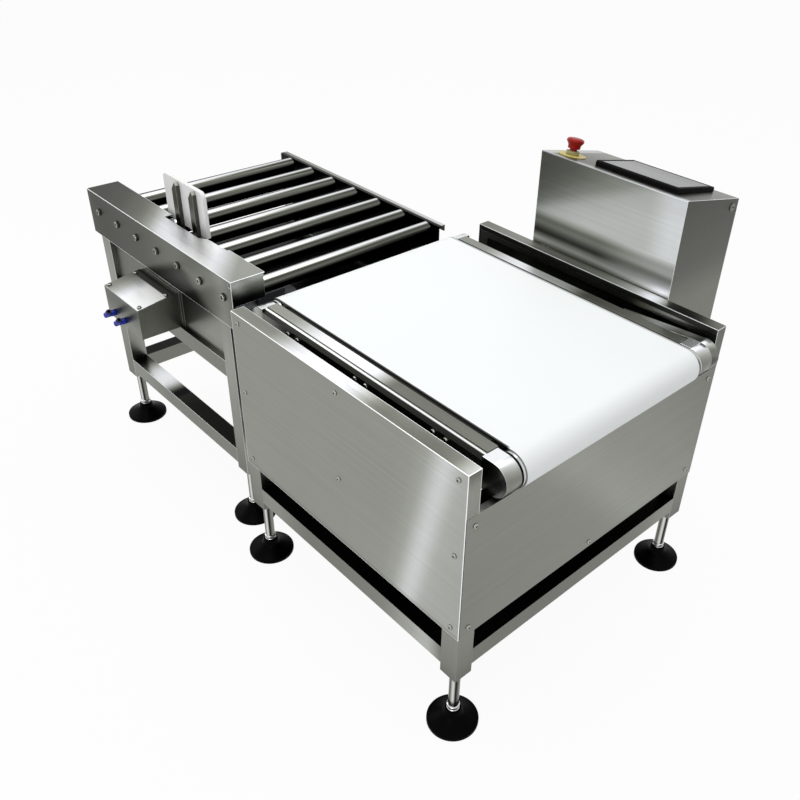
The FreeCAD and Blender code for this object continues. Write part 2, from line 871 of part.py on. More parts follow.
def make_end_blocks():
    """Four round-nosed bearing blocks; each has a bearing seat on its inner side and a shaft hole."""
    blocks = []
    for axis_x, reach, way in ((drive_x, s.block_reach_drive, 1), (tail_x, s.block_reach_tail, -1)):
        for side, (low, high) in zip((1, -1), across(s.rail_offset, rail_inner)):
            body = extrusion("XZ", low, high, block_profile(axis_x, reach, way))
            face = high if side == 1 else low
            inward = "-Y" if side == 1 else "Y"
            start = moved((axis_x, face, belt_axis), OPPOSITE[inward], as_size(1))
            bores = [prism(inward, start, s.bearing_radius + s.stem_play, s.bearing_width + 1, 16)]
            if way == 1 and side == -1:
                bores.append(rod(inward, start, s.shaft_radius + 1, s.rail_width + 2))
            blocks.append(cut(body, *bores))
    sub_part("end_blocks", *blocks)


def make_roller_bearings():
    """The drums' bearing rings; like their seats they have sixteen flat sides."""
    rings = []
    for axis_x in (drive_x, tail_x):
        for low, high in across(rail_inner - s.bearing_width, rail_inner):
            ring = prism("Y", (axis_x, low, belt_axis), s.bearing_radius, s.bearing_width, 16)
            bore = prism("Y", (axis_x, low - 1, belt_axis), s.shaft_radius * 1.03, s.bearing_width + 2, 16)
            rings.append(cut(ring, bore))
    sub_part("roller_bearings", *rings)


def drum(axis_x, near_end, far_end):
    """A belt drum: a tube on two hubs, fixed on a shaft that runs out past both ends."""
    radius = s.belt_radius - s.belt_gauge - 0.3
    low = rail_inner + s.drum_gap
    high = s.weigh_width - rail_inner - s.drum_gap
    shell = rod("Y", (axis_x, low, belt_axis), radius, high - low)
    inside = prism("Y", (axis_x, low + s.drum_hub, belt_axis), radius - s.drum_wall,
                   high - low - 2 * s.drum_hub, 12)
    shaft = rod("Y", (axis_x, near_end, belt_axis), s.shaft_radius, far_end - near_end)
    return fuse(cut(shell, inside), shaft)


def pulley_low_y():
    return s.weigh_width - s.rail_offset + s.pulley_offset


def make_drums():
    inner_end = rail_inner - s.bearing_width
    drive_end = pulley_low_y() + s.pulley_width + 2
    sub_part("drive_drum", drum(drive_x, inner_end, drive_end))
    sub_part("tail_drum", drum(tail_x, inner_end, s.weigh_width - inner_end))


def make_conveyor_ties():
    ties = []
    for centre in tie_centres():
        x = (centre - s.tie_wide / 2, centre + s.tie_wide / 2)
        z = (s.tie_top - s.tie_tall, s.tie_top)
        ties.append(tube("Y", x, (rail_inner, s.weigh_width - rail_inner), z))
    sub_part("conveyor_ties", *ties)


def make_slider_bed():
    """The sheet that the belt slides on, with its sides folded down on to the ties."""
    gauge = s.bed_gauge
    high = s.belt_top - s.belt_gauge - 0.3
    low_y, high_y = rail_inner + 3, s.weigh_width - rail_inner - 3
    x = (tail_x + s.belt_radius + 8, drive_x - s.belt_radius - 8)
    sub_part("slider_bed", extrusion("YZ", x[0], x[1], [
        (low_y, s.tie_top), (low_y + gauge, s.tie_top), (low_y + gauge, high - gauge),
        (high_y - gauge, high - gauge), (high_y - gauge, s.tie_top), (high_y, s.tie_top),
        (high_y, high), (low_y, high),
    ]))


def make_weigh_belt():
    inner = s.belt_radius - s.belt_gauge
    low = weigh_mid_y - s.belt_width / 2
    radius = s.belt_radius
    belt = extrusion("XZ", low, low + s.belt_width, belt_outline(radius))
    sub_part("weigh_belt", cut(belt, extrusion("XZ", low - 1, low + s.belt_width + 1, belt_outline(inner))))


def belt_outline(radius):
    return [
        (tail_x, belt_axis + radius, radius, True),
        (tail_x - radius, belt_axis, radius, True),
        (tail_x, belt_axis - radius),
        (drive_x, belt_axis - radius, radius, True),
        (drive_x + radius, belt_axis, radius, True),
        (drive_x, belt_axis + radius),
    ]


def flanged_pulley(centre, radius, bore):
    """A toothed pulley drawn with one flat side for each tooth, and its flange."""
    rim = as_size(1.2)
    teeth = prism("Y", centre, radius, s.pulley_width, 20)
    flange = prism("Y", centre, radius + s.drive_belt_gauge + 0.5, rim, 20)
    hole = prism("Y", (centre[0], centre[1] - 1, centre[2]), bore, s.pulley_width + 2, 12)
    return cut(fuse(teeth, flange), hole)


def make_belt_drive():
    motor_x = -s.motor_inset
    low = pulley_low_y()
    bracket_y = s.weigh_width - rail_inner - s.platform_gauge
    sub_part("drum_pulley", flanged_pulley((drive_x, low, belt_axis), s.pulley_radius, s.shaft_radius * 1.05))
    shaft_length = low + s.pulley_width - bracket_y
    shaft = rod("Y", (motor_x, bracket_y, s.motor_height), s.motor_shaft, shaft_length)
    small = flanged_pulley((motor_x, low, s.motor_height), s.pulley_radius, s.motor_shaft * 0.8)
    sub_part("motor_pulley", fuse(small, shaft))
    inner = s.pulley_radius + 0.3
    sub_part("timing_belt", loop(low + 1.5, low + s.pulley_width - 1.5, (motor_x, s.motor_height, inner),
                                 (drive_x, belt_axis, inner), s.drive_belt_gauge, 10))
    # The motor hangs from the far rail by an angle bracket.
    face_x = (motor_x - 40, motor_x + 40)
    face = box(face_x, (bracket_y, bracket_y + s.platform_gauge), (s.motor_height - 32, rail_low))
    foot = box(face_x, (bracket_y, s.weigh_width - s.rail_offset), (rail_low - s.platform_gauge, rail_low))
    opening = rod("Y", (motor_x, bracket_y - 1, s.motor_height), s.motor_shaft + 1, s.platform_gauge + 2)
    bracket = cut(fuse(face, foot), opening)
    gear_length = as_size(40)
    flange = box((motor_x - 30, motor_x + 30), (bracket_y - gear_length, bracket_y),
                 (s.motor_height - 30, s.motor_height + 30))
    barrel = rod("Y", (motor_x, bracket_y - gear_length - s.motor_length, s.motor_height), s.motor_radius,
                 s.motor_length)
    sub_part("drive_motor", fuse(flange, barrel), bracket)


def guard_profile(inset):
    """Outline of the belt guard: round about the drum shaft, falling away along its top."""
    radius = s.block_radius - inset
    end_x = -s.guard_length + inset
    motor_x = -s.motor_inset
    return [
        (drive_x, belt_axis - radius, radius, True),
        (drive_x + radius, belt_axis, radius, True),
        (drive_x, belt_axis + radius),
        (end_x, rail_high - s.guard_drop - inset),
        (end_x, s.motor_height - 24 + inset),
        (motor_x + 10, s.motor_height - 24 + inset),
        (-post_high - 4, s.frame_top + 2.5 + inset),
    ]


def make_drive_guard():
    """A pan over the timing belt with its open side against the far rail and a flange at the top."""
    low = s.weigh_width - s.rail_offset
    high = low + s.guard_width
    pan = extrusion("XZ", low, high, guard_profile(ZERO))
    hollow = extrusion("XZ", low - 1, high - s.sheet_gauge, guard_profile(s.sheet_gauge))
    sub_part("drive_guard", cut(pan, hollow))


def make_bolts():
    """Hexagon bolts: roller axles, conveyor rails and the cabinet's fixings."""
    bolts = []
    for x in roller_centres():
        for y, out, wall in ((bed_cover_front, "-Y", s.bed_cover_gauge + s.bed_rail_gauge),
                             (bed_web_far, "Y", s.bed_rail_gauge)):
            spot = ((x, y, s.roller_axis), out)
            bolts.append(hex_bolt(spot, 13, 5.5, s.axle_bolt_radius, wall + s.axle_bolt_grip))
    for spot in rail_bolt_spots():
        bolts.append(hex_bolt(spot, 10, 4, s.screw_radius, s.rail_wall + 5))
    length = s.cabinet_wall + s.cabinet_gap + s.sheet_gauge + s.tube_wall + 6
    for spot in cabinet_bolt_spots():
        bolts.append(hex_bolt(spot, 13, 5.5, s.axle_bolt_radius, length))
    sub_part("hex_bolts", *bolts)


def roller_centres():
    count = int(s.roller_count.value)
    return [bed_far_end + s.roller_start + s.roller_pitch * index for index in range(count)]


def make_bed_legs():
    legs = [leg(x, y, s.bed_leg_bottom, s.bed_leg_top) for x, y in bed_leg_spans()]
    sub_part("bed_legs", *legs)


def make_bed_rails():
    rails = []
    between_x = (bed_far_end + s.leg_side, bed_end - s.leg_side)
    between_y = (bed_near + s.leg_side, bed_far - s.leg_side)
    for high in (s.bed_low_rail_top, s.bed_mid_rail_top):
        z = (high - s.leg_side, high)
        for y in ((bed_near, bed_near + s.leg_side), (bed_far - s.leg_side, bed_far)):
            rails.append(tube("X", between_x, y, z))
        for x in ((bed_far_end, bed_far_end + s.leg_side), (bed_end - s.leg_side, bed_end)):
            rails.append(tube("Y", x, between_y, z))
    sub_part("bed_rails", *rails)


def make_module_links():
    """Spacer tubes that join the two frames across the gap between them."""
    low_z = s.low_rail_top - s.leg_side + 1.5
    links = []
    for y in (bed_near + s.leg_side + 40, bed_far - s.leg_side - 65):
        x = (bed_end, weigh_exit + post_low)
        links.append(tube("X", x, (y, y + s.bar_side), (low_z, low_z + s.bar_side)))
    high_z = s.frame_top - s.leg_side + 7.5
    y = bed_far - s.leg_side + 7.5
    links.append(tube("X", (bed_end, weigh_exit), (y, y + s.bar_side), (high_z, high_z + s.bar_side)))
    sub_part("module_links", *links)


def make_bed_side_rails():
    """The folded rails that hold the roller axles."""
    gauge = s.bed_rail_gauge
    near_x = (bed_far_end - s.bed_cover_overhang + s.bed_cover_gauge,
              bed_end + s.bed_cover_overhang - 5 - s.bed_cover_gauge)
    near_top = s.bed_cover_top - s.bed_cover_gauge
    near = extrusion("YZ", near_x[0], near_x[1], [
        (bed_near, s.bed_leg_top), (bed_near + s.leg_side, s.bed_leg_top),
        (bed_near + s.leg_side, s.bed_leg_top + gauge), (bed_web_near, s.bed_leg_top + gauge),
        (bed_web_near, near_top), (bed_near, near_top),
    ])
    far_x = (bed_far_end - s.bed_rail_overhang, bed_end + s.bed_rail_overhang - 3)
    lip = bed_far + 1.5
    far = extrusion("YZ", far_x[0], far_x[1], [
        (bed_web_inner, s.bed_leg_top), (bed_far, s.bed_leg_top), (bed_far, s.bed_leg_top + gauge),
        (bed_web_far, s.bed_leg_top + gauge), (bed_web_far, s.bed_rail_top - gauge),
        (lip - gauge, s.bed_rail_top - gauge), (lip - gauge, s.bed_rail_top - s.bed_rail_lip),
        (lip, s.bed_rail_top - s.bed_rail_lip), (lip, s.bed_rail_top), (bed_web_inner, s.bed_rail_top),
    ])
    near_holes, far_holes = [], []
    for x in roller_centres():
        hole = s.axle_bolt_radius + 0.3
        near_holes.append(drill(((x, bed_near, s.roller_axis), "-Y"), hole, gauge + 1))
        far_holes.append(drill(((x, bed_web_far, s.roller_axis), "Y"), hole, gauge + 1))
    sub_part("roller_rails", cut(near, *near_holes), cut(far, *far_holes))


def make_bed_side_cover():
    """The wide folded cover over the roller drive, with a notch where the pusher stands."""
    gauge = s.bed_cover_gauge
    x0 = bed_far_end - s.bed_cover_overhang
    x1 = bed_end + s.bed_cover_overhang - 5
    front, back = bed_cover_front, bed_cover_back
    notch_x = -s.weigh_length - s.notch_start
    notch_end = notch_x + s.notch_length
    ramp_end = notch_end + s.notch_ramp
    top = extrusion("XY", s.bed_cover_top - gauge, s.bed_cover_top, [
        (x0, front), (x1, front), (x1, back), (ramp_end + 2, back), (ramp_end, back - s.notch_ramp_depth + 2),
        (notch_end + 14, back - s.notch_ramp_depth), (notch_end, back - s.notch_depth),
        (notch_x, back - s.notch_depth), (notch_x, back), (x0, back),
    ])
    face = box((x0, x1), (front, front + gauge), (s.bed_cover_bottom, s.bed_cover_top))
    ends = []
    for x in ((x0, x0 + gauge), (x1 - gauge, x1)):
        ends.append(box(x, (front, back - 3), (s.bed_cover_end_bottom, s.bed_cover_top)))
        ends.append(box(x, (front, front + gauge + s.bed_rail_gauge), (s.bed_cover_bottom, s.bed_cover_top)))
    holes = []
    for x in roller_centres():
        holes.append(drill(((x, front, s.roller_axis), "-Y"), s.axle_bolt_radius + 0.3, gauge + 1))
    relief_z = (s.bed_cover_top - 14, s.bed_cover_top - 5)
    relief = box((x1 - 9, x1 - 4), (front - 1, front + gauge + 1), relief_z)
    sub_part("bed_side_cover", cut(fuse(top, face, *ends), relief, *holes))


def make_bed_panels():
    """Recessed panels between the legs, on the middle rail, and a tray inside it under the rollers."""
    x = (bed_far_end + s.leg_side, bed_end - s.leg_side)
    z = (s.bed_mid_rail_top, s.bed_leg_top)
    high = bed_far - s.bed_panel_inset
    near = box(x, (valve_back, bed_panel_back), z)
    far = box(x, (high - s.sheet_gauge, high), z)
    tray_top = s.bed_mid_rail_top - s.bed_tray_drop
    tray_y = (bed_near + s.leg_side, bed_far - s.leg_side)
    sub_part("bed_panels", near, far, box(x, tray_y, (tray_top - s.sheet_gauge, tray_top)))


def make_bed_rollers():
    """Each roller is a round tube closed by a bearing cap at each end, with a bore for its axle."""
    length = roller_far - roller_near
    for number, x in enumerate(roller_centres(), 1):
        skin = rod("Y", (x, roller_near, s.roller_axis), s.roller_radius, length)
        hollow = prism("Y", (x, roller_near + s.roller_cap, s.roller_axis), s.roller_radius - s.roller_wall,
                       length - 2 * s.roller_cap, 12)
        bore = prism("Y", (x, roller_near - 1, s.roller_axis), s.axle_radius * 1.05, length + 2, 12)
        sub_part("bed_roller_%d" % number, cut(skin, hollow, bore))


def make_roller_axles():
    """Hexagonal axles, threaded at both ends for the axle bolts."""
    axles = []
    deep = s.axle_bolt_grip + 2
    thread = s.axle_bolt_radius + s.stem_play
    for x in roller_centres():
        shaft = prism("Y", (x, bed_web_near, s.roller_axis), s.axle_radius, bed_web_inner - bed_web_near)
        near = drill(((x, bed_web_near, s.roller_axis), "-Y"), thread, deep)
        far = drill(((x, bed_web_inner, s.roller_axis), "Y"), thread, deep)
        axles.append(cut(shaft, near, far))
    sub_part("roller_axles", *axles)


def groove_low_y(index):
    return roller_near + s.groove_first + s.groove_pitch * index + 0.5


def bed_motor_spot():
    return (roller_centres()[-2], s.roller_axis - s.bed_motor_drop)


def make_drive_cords():
    """Flat cords from roller to roller in turn, and one from the motor."""
    cords = []
    centres = roller_centres()
    inner = s.roller_radius + 0.3
    width = s.groove_width - 1
    for index in range(len(centres) - 1):
        low = groove_low_y(index % 2)
        first, last = (centres[index], s.roller_axis, inner), (centres[index + 1], s.roller_axis, inner)
        cords.append(loop(low, low + width, first, last, s.cord_gauge))
    low = groove_low_y(2)
    x, z = bed_motor_spot()
    first = (x, z, s.bed_pulley_radius + 0.3)
    cords.append(loop(low, low + width, first, (x, s.roller_axis, inner), s.cord_gauge))
    sub_part("drive_cords", *cords)


def make_bed_motor():
    """The bed's gearmotor on an angle bracket that stands on the near middle rail."""
    x, z = bed_motor_spot()
    low = groove_low_y(2) - 0.5
    face_y = low + s.groove_width + 3
    width = s.groove_width
    pulley = prism("Y", (x, low, z), s.bed_pulley_radius, width, 20)
    shaft = rod("Y", (x, low, z), s.motor_shaft, face_y + s.beam_gauge - low)
    sub_part("bed_motor_pulley", fuse(pulley, shaft))
    gauge = s.beam_gauge
    face_x = (x - 44, x + 44)
    face = box(face_x, (face_y, face_y + gauge), (s.bed_mid_rail_top, z + s.bed_motor_radius + 4))
    foot_z = (s.bed_mid_rail_top, s.bed_mid_rail_top + gauge)
    foot = box(face_x, (bed_panel_back + 6.5, face_y + gauge), foot_z)
    opening = rod("Y", (x, face_y - 1, z), s.motor_shaft + 1, gauge + 2)
    barrel = rod("Y", (x, face_y + gauge, z), s.bed_motor_radius, s.bed_motor_length)
    box_y = (face_y + gauge + 50, face_y + gauge + 120)
    terminal_box = box((x - 24, x + 24), box_y, (z + 10, z + s.bed_motor_radius + 16))
    sub_part("bed_motor", fuse(barrel, terminal_box), cut(fuse(face, foot), opening))


def slider_span_y():
    near = slider_near + 4
    return (near, near + s.pusher_stroke + s.carriage_length)


def make_pusher_slider():
    """A rodless cylinder across the bed under the rollers, on two end blocks."""
    low, high = slider_span_y()
    half = s.slider_side / 2
    x = (slider_x - half, slider_x + half)
    z = (s.slider_bottom, slider_top)
    barrel = box(x, (low, high), z)
    groove_z = (slider_top - 4, slider_top + 1)
    band = box((slider_x - 4, slider_x + 4), (low - 1, high + 1), groove_z)
    side_grooves = []
    for way in (-1, 1):
        face = slider_x + half * way
        near_x, far_x = (face - 5, face + 1) if way > 0 else (face - 1, face + 5)
        side_z = (s.slider_bottom + 21, s.slider_bottom + 29)
        side_grooves.append(box((near_x, far_x), (low - 1, high + 1), side_z))
    block_x = (x[0] - 5, x[1] + 5)
    block_z = (s.bed_mid_rail_top, slider_top + 3)
    near_block = box(block_x, (bed_panel_back + 2.5, low), block_z)
    far_block = box(block_x, (high, bed_far - s.bed_panel_inset - s.sheet_gauge - 1), block_z)
    sub_part("pusher_cylinder", cut(barrel, band, *side_grooves), near_block, far_block)


def arm_centres():
    return [slider_x - s.arm_pitch / 2, slider_x + s.arm_pitch / 2]


def make_pusher_carriage():
    """A saddle on the cylinder with a cross bar that carries both arms."""
    low = slider_span_y()[0] + 2
    high = low + s.carriage_length - 4
    half = s.slider_side / 2 + s.slide_gap
    wall = s.carriage_wall
    top = slider_top + s.slide_gap
    left, right = slider_x - half, slider_x + half
    saddle = extrusion("XZ", low, high, [
        (left - wall, s.slider_bottom + 14), (left, s.slider_bottom + 14), (left, top), (right, top),
        (right, s.slider_bottom + 14), (right + wall, s.slider_bottom + 14), (right + wall, top + 12),
        (left - wall, top + 12),
    ])
    bar_x = (arm_centres()[0] - s.arm_width / 2 - 3, arm_centres()[1] + s.arm_width / 2 + 3)
    bar = box(bar_x, (s.arm_face - s.arm_gauge - 8, s.arm_face - s.arm_gauge), (top + 12, top + 40))
    foot = box(bar_x, (s.arm_face - s.arm_gauge - 8, s.arm_face), (top + 12, top + 16))
    sub_part("pusher_carriage", fuse(saddle, bar, foot))


def make_pusher_arms():
    """Two flat arms that rise between the rollers, with slanted tops, and the plate's screws."""
    pieces = []
    low = slider_top + s.slide_gap + 16
    y = (s.arm_face - s.arm_gauge, s.arm_face)
    for x in arm_centres():
        left, right = x - s.arm_width / 2, x + s.arm_width / 2
        pieces.append(extrusion("XZ", y[0], y[1], [
            (left, low), (right, low), (right, s.arm_top - 7), (x + 4, s.arm_top), (left, s.arm_top - 18),
        ]))
    for x in arm_centres():
        for z in (s.plate_bottom + 18, s.plate_bottom + 72):
            pieces.append(prism("Y", (x, s.arm_face + s.plate_gauge, z), s.screw_head, s.screw_head / 2, 12))
    sub_part("pusher_arms", *pieces)


def make_pusher_plate():
    """The plastic plate that meets the product; its outer top corner is rounded."""
    left = slider_x - s.plate_length / 2 - 15
    right = left + s.plate_length
    top = s.plate_bottom + s.plate_height
    radius = s.plate_round
    sub_part("pusher_plate", extrusion("XZ", s.arm_face, s.arm_face + s.plate_gauge, [
        (left, s.plate_bottom), (right, s.plate_bottom), (right, top - radius, radius, True),
        (right - radius, top), (left + radius, top, radius, True), (left, top - radius),
    ]))


def valve_box_x():
    high = bed_end - s.valve_box_start
    return (high - s.valve_box_length, high)


def lid_screw_spots():
    """Lid screws, each on the lid's sloping top at its own height."""
    spots = []
    low_x, high_x = valve_box_x()
    depth = bed_cover_front - 0.5 + s.valve_box_reach
    for x in (low_x + 9, high_x - 9):
        for y in (-s.valve_box_reach + 9, bed_cover_front - 16):
            rise = (y + s.valve_box_reach + 5) / depth * s.valve_box_rise
            spots.append((x, y, s.valve_box_front_top + s.valve_box_wall + rise))
    return spots


def make_valve_box():
    """The valve box on the bed's near side, its sloping lid and its back flange."""
    wall = s.valve_box_wall
    x = valve_box_x()
    front = -s.valve_box_reach
    low = s.bed_mid_rail_top
    back_top = s.valve_box_front_top + s.valve_box_rise
    lid_back = bed_cover_front - 0.5
    outer = extrusion("YZ", x[0], x[1], [
        (front, low), (valve_back, low), (valve_back, back_top), (lid_back, back_top),
        (front, s.valve_box_front_top),
    ])
    inner = extrusion("YZ", x[0] + wall, x[1] - wall, [
        (front + wall, low + wall), (valve_back - wall, low + wall), (valve_back - wall, back_top - wall),
        (lid_back, back_top - wall), (front + wall, s.valve_box_front_top - wall),
    ])
    flange = box((x[0] - 4, x[1] + 12), (valve_back - wall, valve_back), (low, back_top + 14))
    bosses = []
    for px, py, pz in lid_screw_spots():
        bosses.append(box((px - 6, px + 6), (py - 6, py + 6), (pz - 16, pz - wall - 1.75)))
    hole = s.screw_radius + s.stem_play
    holes = [drill((point, "Z"), hole, s.screw_grip + 1) for point in lid_screw_spots()]
    ports = [drill(((px, front, pz), "-Y"), as_size(5), wall + 1) for px, pz in fitting_spots()]
    sub_part("valve_box", cut(fuse(cut(outer, inner), flange, *bosses), *ports, *holes))
    lid_holes = [drill((point, "Z"), s.screw_radius + 0.3, as_size(6)) for point in lid_screw_spots()]
    sub_part("valve_box_lid", cut(lid_shape(ZERO, wall), *lid_holes))


def lid_shape(low, high):
    """A slab on the valve box's sloping top, between two heights above it."""
    x = valve_box_x()
    front, back = -s.valve_box_reach, bed_cover_front - 0.5
    front_z, back_z = s.valve_box_front_top, s.valve_box_front_top + s.valve_box_rise
    return extrusion("YZ", x[0], x[1], [
        (front, front_z + low), (back, back_z + low), (back, back_z + high), (front, front_z + high),
    ])


def fitting_spots():
    low_x, high_x = valve_box_x()
    middle = (low_x + high_x) / 2
    return [(middle - 48, s.bed_mid_rail_top + 16), (middle + 2, s.bed_mid_rail_top + 16)]


def make_air_fittings():
    """Push-in elbows: a threaded stub, a six-sided body and an arm whose port faces sideways and up."""
    pieces = []
    front = -s.valve_box_reach
    radius = s.fitting_radius
    for x, z in fitting_spots():
        stub = prism("-Y", (x, front + 6, z), as_size(4.9), as_size(8))
        body = hexagon("-Y", (x, front, z), 2 * radius, s.fitting_reach)
        y = front - s.fitting_reach + radius
        arm = rod("XZ", (x, y, z), radius - 0.8, as_size(22))
        start = 10 * math.sqrt(0.5)
        port = rod("XZ", (x + start, y, z + start), s.air_tube_radius, as_size(14))
        pieces.append(cut(fuse(stub, body, arm), port))
    sub_part("air_fittings", *pieces)


def foot_spots():
    spots = []
    for spans, low in ((weigh_leg_spans(), s.leg_bottom), (bed_leg_spans(), s.bed_leg_bottom)):
        for x, y in spans:
            spots.append(((x[0] + x[1]) / 2, (y[0] + y[1]) / 2, low))
    return spots


def make_feet():
    """Levelling feet: a rubber-faced pad, a stem that stands on it and a lock nut under each leg."""
    pads, stems, nuts = [], [], []
    seat = as_size(38)
    for x, y, low in foot_spots():
        rim = s.pad_radius
        pads.append(turned("Z", (x, y, ZERO), [
            (ZERO, ZERO), (rim, ZERO), (rim, as_size(9)), (rim - 31, as_size(24)), (s.stem_radius + 8, seat),
            (ZERO, seat),
        ]))
        stems.append(prism("Z", (x, y, seat), s.stem_radius, low + s.foot_plate + s.stem_top - seat, 12))
        nut = hexagon("-Z", (x, y, low), s.nut_flats, s.nut_thick)
        thread = prism("-Z", (x, y, low + 1), s.stem_radius + s.stem_play, s.nut_thick + 2, 12)
        nuts.append(cut(nut, thread))
    sub_part("foot_pads", *pads)
    sub_part("foot_stems", *stems)
    sub_part("foot_nuts", *nuts)


def slope_height(y):
    """Height of the cabinet's sloping top above a distance behind its near face."""
    return s.cabinet_top - y * slope_tangent


def stop_spot():
    return (cabinet_low_x + s.stop_from_end, s.stop_inset)


def screen_span():
    high = cabinet_high_x - s.screen_unit_start
    low_y = s.screen_unit_inset
    return ((high - s.screen_unit_length, high), (low_y, low_y + s.screen_unit_width))


def tilted(thing):
    """Tilts a tool built flat on the cabinet's top to lie on its slope."""
    holder = group(thing)
    holder.Placement = Placement(Vector(0, 0, 0), Rotation(Vector(-1, 0, 0), 1))
    bind(holder, "Placement.Rotation.Angle", top_slope)
    bind(holder, "Placement.Base.y", cabinet_near)
    bind(holder, "Placement.Base.z", s.cabinet_top)
    return holder


def hinge_heights():
    return [s.cabinet_bottom + 60, slope_height(s.cabinet_depth) - 80]


def hinge_spot():
    return (cabinet_low_x - s.hinge_radius - 0.5, cabinet_far - s.hinge_radius - 0.5)


def make_cabinet():
    """The cabinet's folded shell, open to the far side, with straps that meet the side cover."""
    wall = s.cabinet_wall
    back = cabinet_far - s.door_gauge
    depth = s.cabinet_depth - s.door_gauge
    x = (cabinet_low_x, cabinet_high_x)
    outer = extrusion("YZ", x[0], x[1], [
        (cabinet_near, s.cabinet_bottom), (back, s.cabinet_bottom), (back, slope_height(depth)),
        (cabinet_near, s.cabinet_top),
    ])
    inner = extrusion("YZ", x[0] + wall, x[1] - wall, [
        (cabinet_near + wall, s.cabinet_bottom + wall), (cabinet_far, s.cabinet_bottom + wall),
        (cabinet_far, slope_height(s.cabinet_depth) - wall), (cabinet_near + wall, slope_height(wall) - wall),
    ])
    bolt_x = sorted({spot[0][0].text: spot[0][0] for spot in cabinet_bolt_spots()}.values(),
                    key=lambda size: size.value)
    strap_z = (s.cabinet_bottom + 10, bar_top)
    straps = [box((middle - 20, middle + 20), (s.weigh_width, cabinet_near), strap_z) for middle in bolt_x]
    (screen_x, screen_y) = screen_span()
    inset = s.screen_body_inset - 1
    window_x = (screen_x[0] + inset, screen_x[1] - inset)
    window_y = (screen_y[0] + inset, screen_y[1] - inset)
    window = tilted(box(window_x, window_y, (as_size(-8), as_size(8))))
    stop_x, stop_y = stop_spot()
    stop_hole = tilted(prism("Z", (stop_x, stop_y, as_size(-8)), s.stop_hole, as_size(16), 12))
    lock_hole = rod("-X", (cabinet_high_x + 1, lock_spot()[0], lock_spot()[1]), s.lock_radius - 3, wall + 2)
    holes = [drill(spot, s.axle_bolt_radius + 0.4, wall + s.cabinet_gap + 1) for spot in cabinet_bolt_spots()]
    hinge_x, hinge_y = hinge_spot()
    knuckles, pins = [], []
    for z in hinge_heights():
        knuckles.append(rod("Z", (hinge_x, hinge_y, z), s.hinge_radius, s.hinge_length))
        leaf_x = (hinge_x + 2.5, cabinet_low_x + 0.5)
        knuckles.append(box(leaf_x, (hinge_y - 22, hinge_y), (z, z + s.hinge_length)))
        pins.append(rod("Z", (hinge_x, hinge_y, z), s.hinge_pin, s.hinge_length * 2 - 2))
    shell = cut(outer, inner, window, stop_hole, lock_hole)
    sub_part("cabinet_shell", cut(fuse(shell, *straps, *knuckles, *pins), *holes))


def make_cabinet_door():
    """The far-side door: a flat sheet with an inner frame and two hinge knuckles."""
    gauge = s.door_gauge
    back = cabinet_far - gauge
    top = slope_height(s.cabinet_depth)
    x = (cabinet_low_x, cabinet_high_x)
    face = box(x, (back, cabinet_far), (s.cabinet_bottom, top))
    gap = s.cabinet_wall + s.door_play
    frame_x = (x[0] + gap, x[1] - gap)
    frame_z = (s.cabinet_bottom + gap, top - gap)
    frame_y = (back - s.door_return, back)
    rim = cut(box(frame_x, frame_y, frame_z),
              box((frame_x[0] + gauge, frame_x[1] - gauge), (frame_y[0] - 1, frame_y[1]),
                  (frame_z[0] + gauge, frame_z[1] - gauge)))
    hinge_x, hinge_y = hinge_spot()
    knuckles, bores = [], []
    for z in hinge_heights():
        low = z + s.hinge_length + 0.5
        knuckles.append(rod("Z", (hinge_x, hinge_y, low), s.hinge_radius, s.hinge_length))
        knuckles.append(box((hinge_x, cabinet_low_x + 1), (back, cabinet_far), (low, low + s.hinge_length)))
        knuckles.append(box((hinge_x - 1, hinge_x + 2), (hinge_y, cabinet_far), (low, low + s.hinge_length)))
        bores.append(rod("Z", (hinge_x, hinge_y, low - 1), s.hinge_pin + s.stem_play, s.hinge_length + 2))
    sub_part("cabinet_door", cut(fuse(face, rim, *knuckles), *bores))


def lock_spot():
    y = cabinet_far - s.lock_inset
    return (y, slope_height(s.cabinet_depth - s.lock_inset) - s.lock_drop)


def make_door_lock():
    """A quarter-turn lock through the cabinet's end wall: slotted head, shaft and cam."""
    y, z = lock_spot()
    head = rod("X", (cabinet_high_x, y, z), s.lock_radius, as_size(3))
    slot = box((cabinet_high_x + 1.5, cabinet_high_x + 4), (y - 1.2, y + 1.2), (z - 6, z + 6))
    shaft = prism("-X", (cabinet_high_x, y, z), s.lock_radius - 3.05, as_size(14), 12)
    cam = box((cabinet_high_x - 14, cabinet_high_x - 11), (y - 4, y + 4), (z - 16, z + 4))
    sub_part("door_lock", fuse(cut(head, slot), shaft, cam))


def make_screen_unit():
    """The touch screen unit: bevelled bezel with its body below the cabinet's top, and the glass."""
    (x, y) = screen_span()
    height = s.screen_unit_height
    bevel = as_size(3)
    bezel = extrusion("YZ", x[0], x[1], [
        (y[0], ZERO), (y[1], ZERO), (y[1], height - bevel), (y[1] - bevel, height), (y[0] + bevel, height),
        (y[0], height - bevel),
    ])
    inset = s.screen_body_inset
    body = box((x[0] + inset, x[1] - inset), (y[0] + inset, y[1] - inset), (-s.screen_body_depth, ZERO))
    margin = s.screen_margin
    recess_z = (height - s.screen_depth, height + 1)
    recess = box((x[0] + margin, x[1] - margin), (y[0] + margin, y[1] - margin), recess_z)
    sub_part("screen_bezel", cut(fuse(bezel, body), recess), slope=True)
    play = margin + 0.2
    glass_z = (height - s.screen_depth, height - 0.4)
    glass = box((x[0] + play, x[1] - play), (y[0] + play, y[1] - play), glass_z)
    sub_part("screen_glass", glass, slope=True)


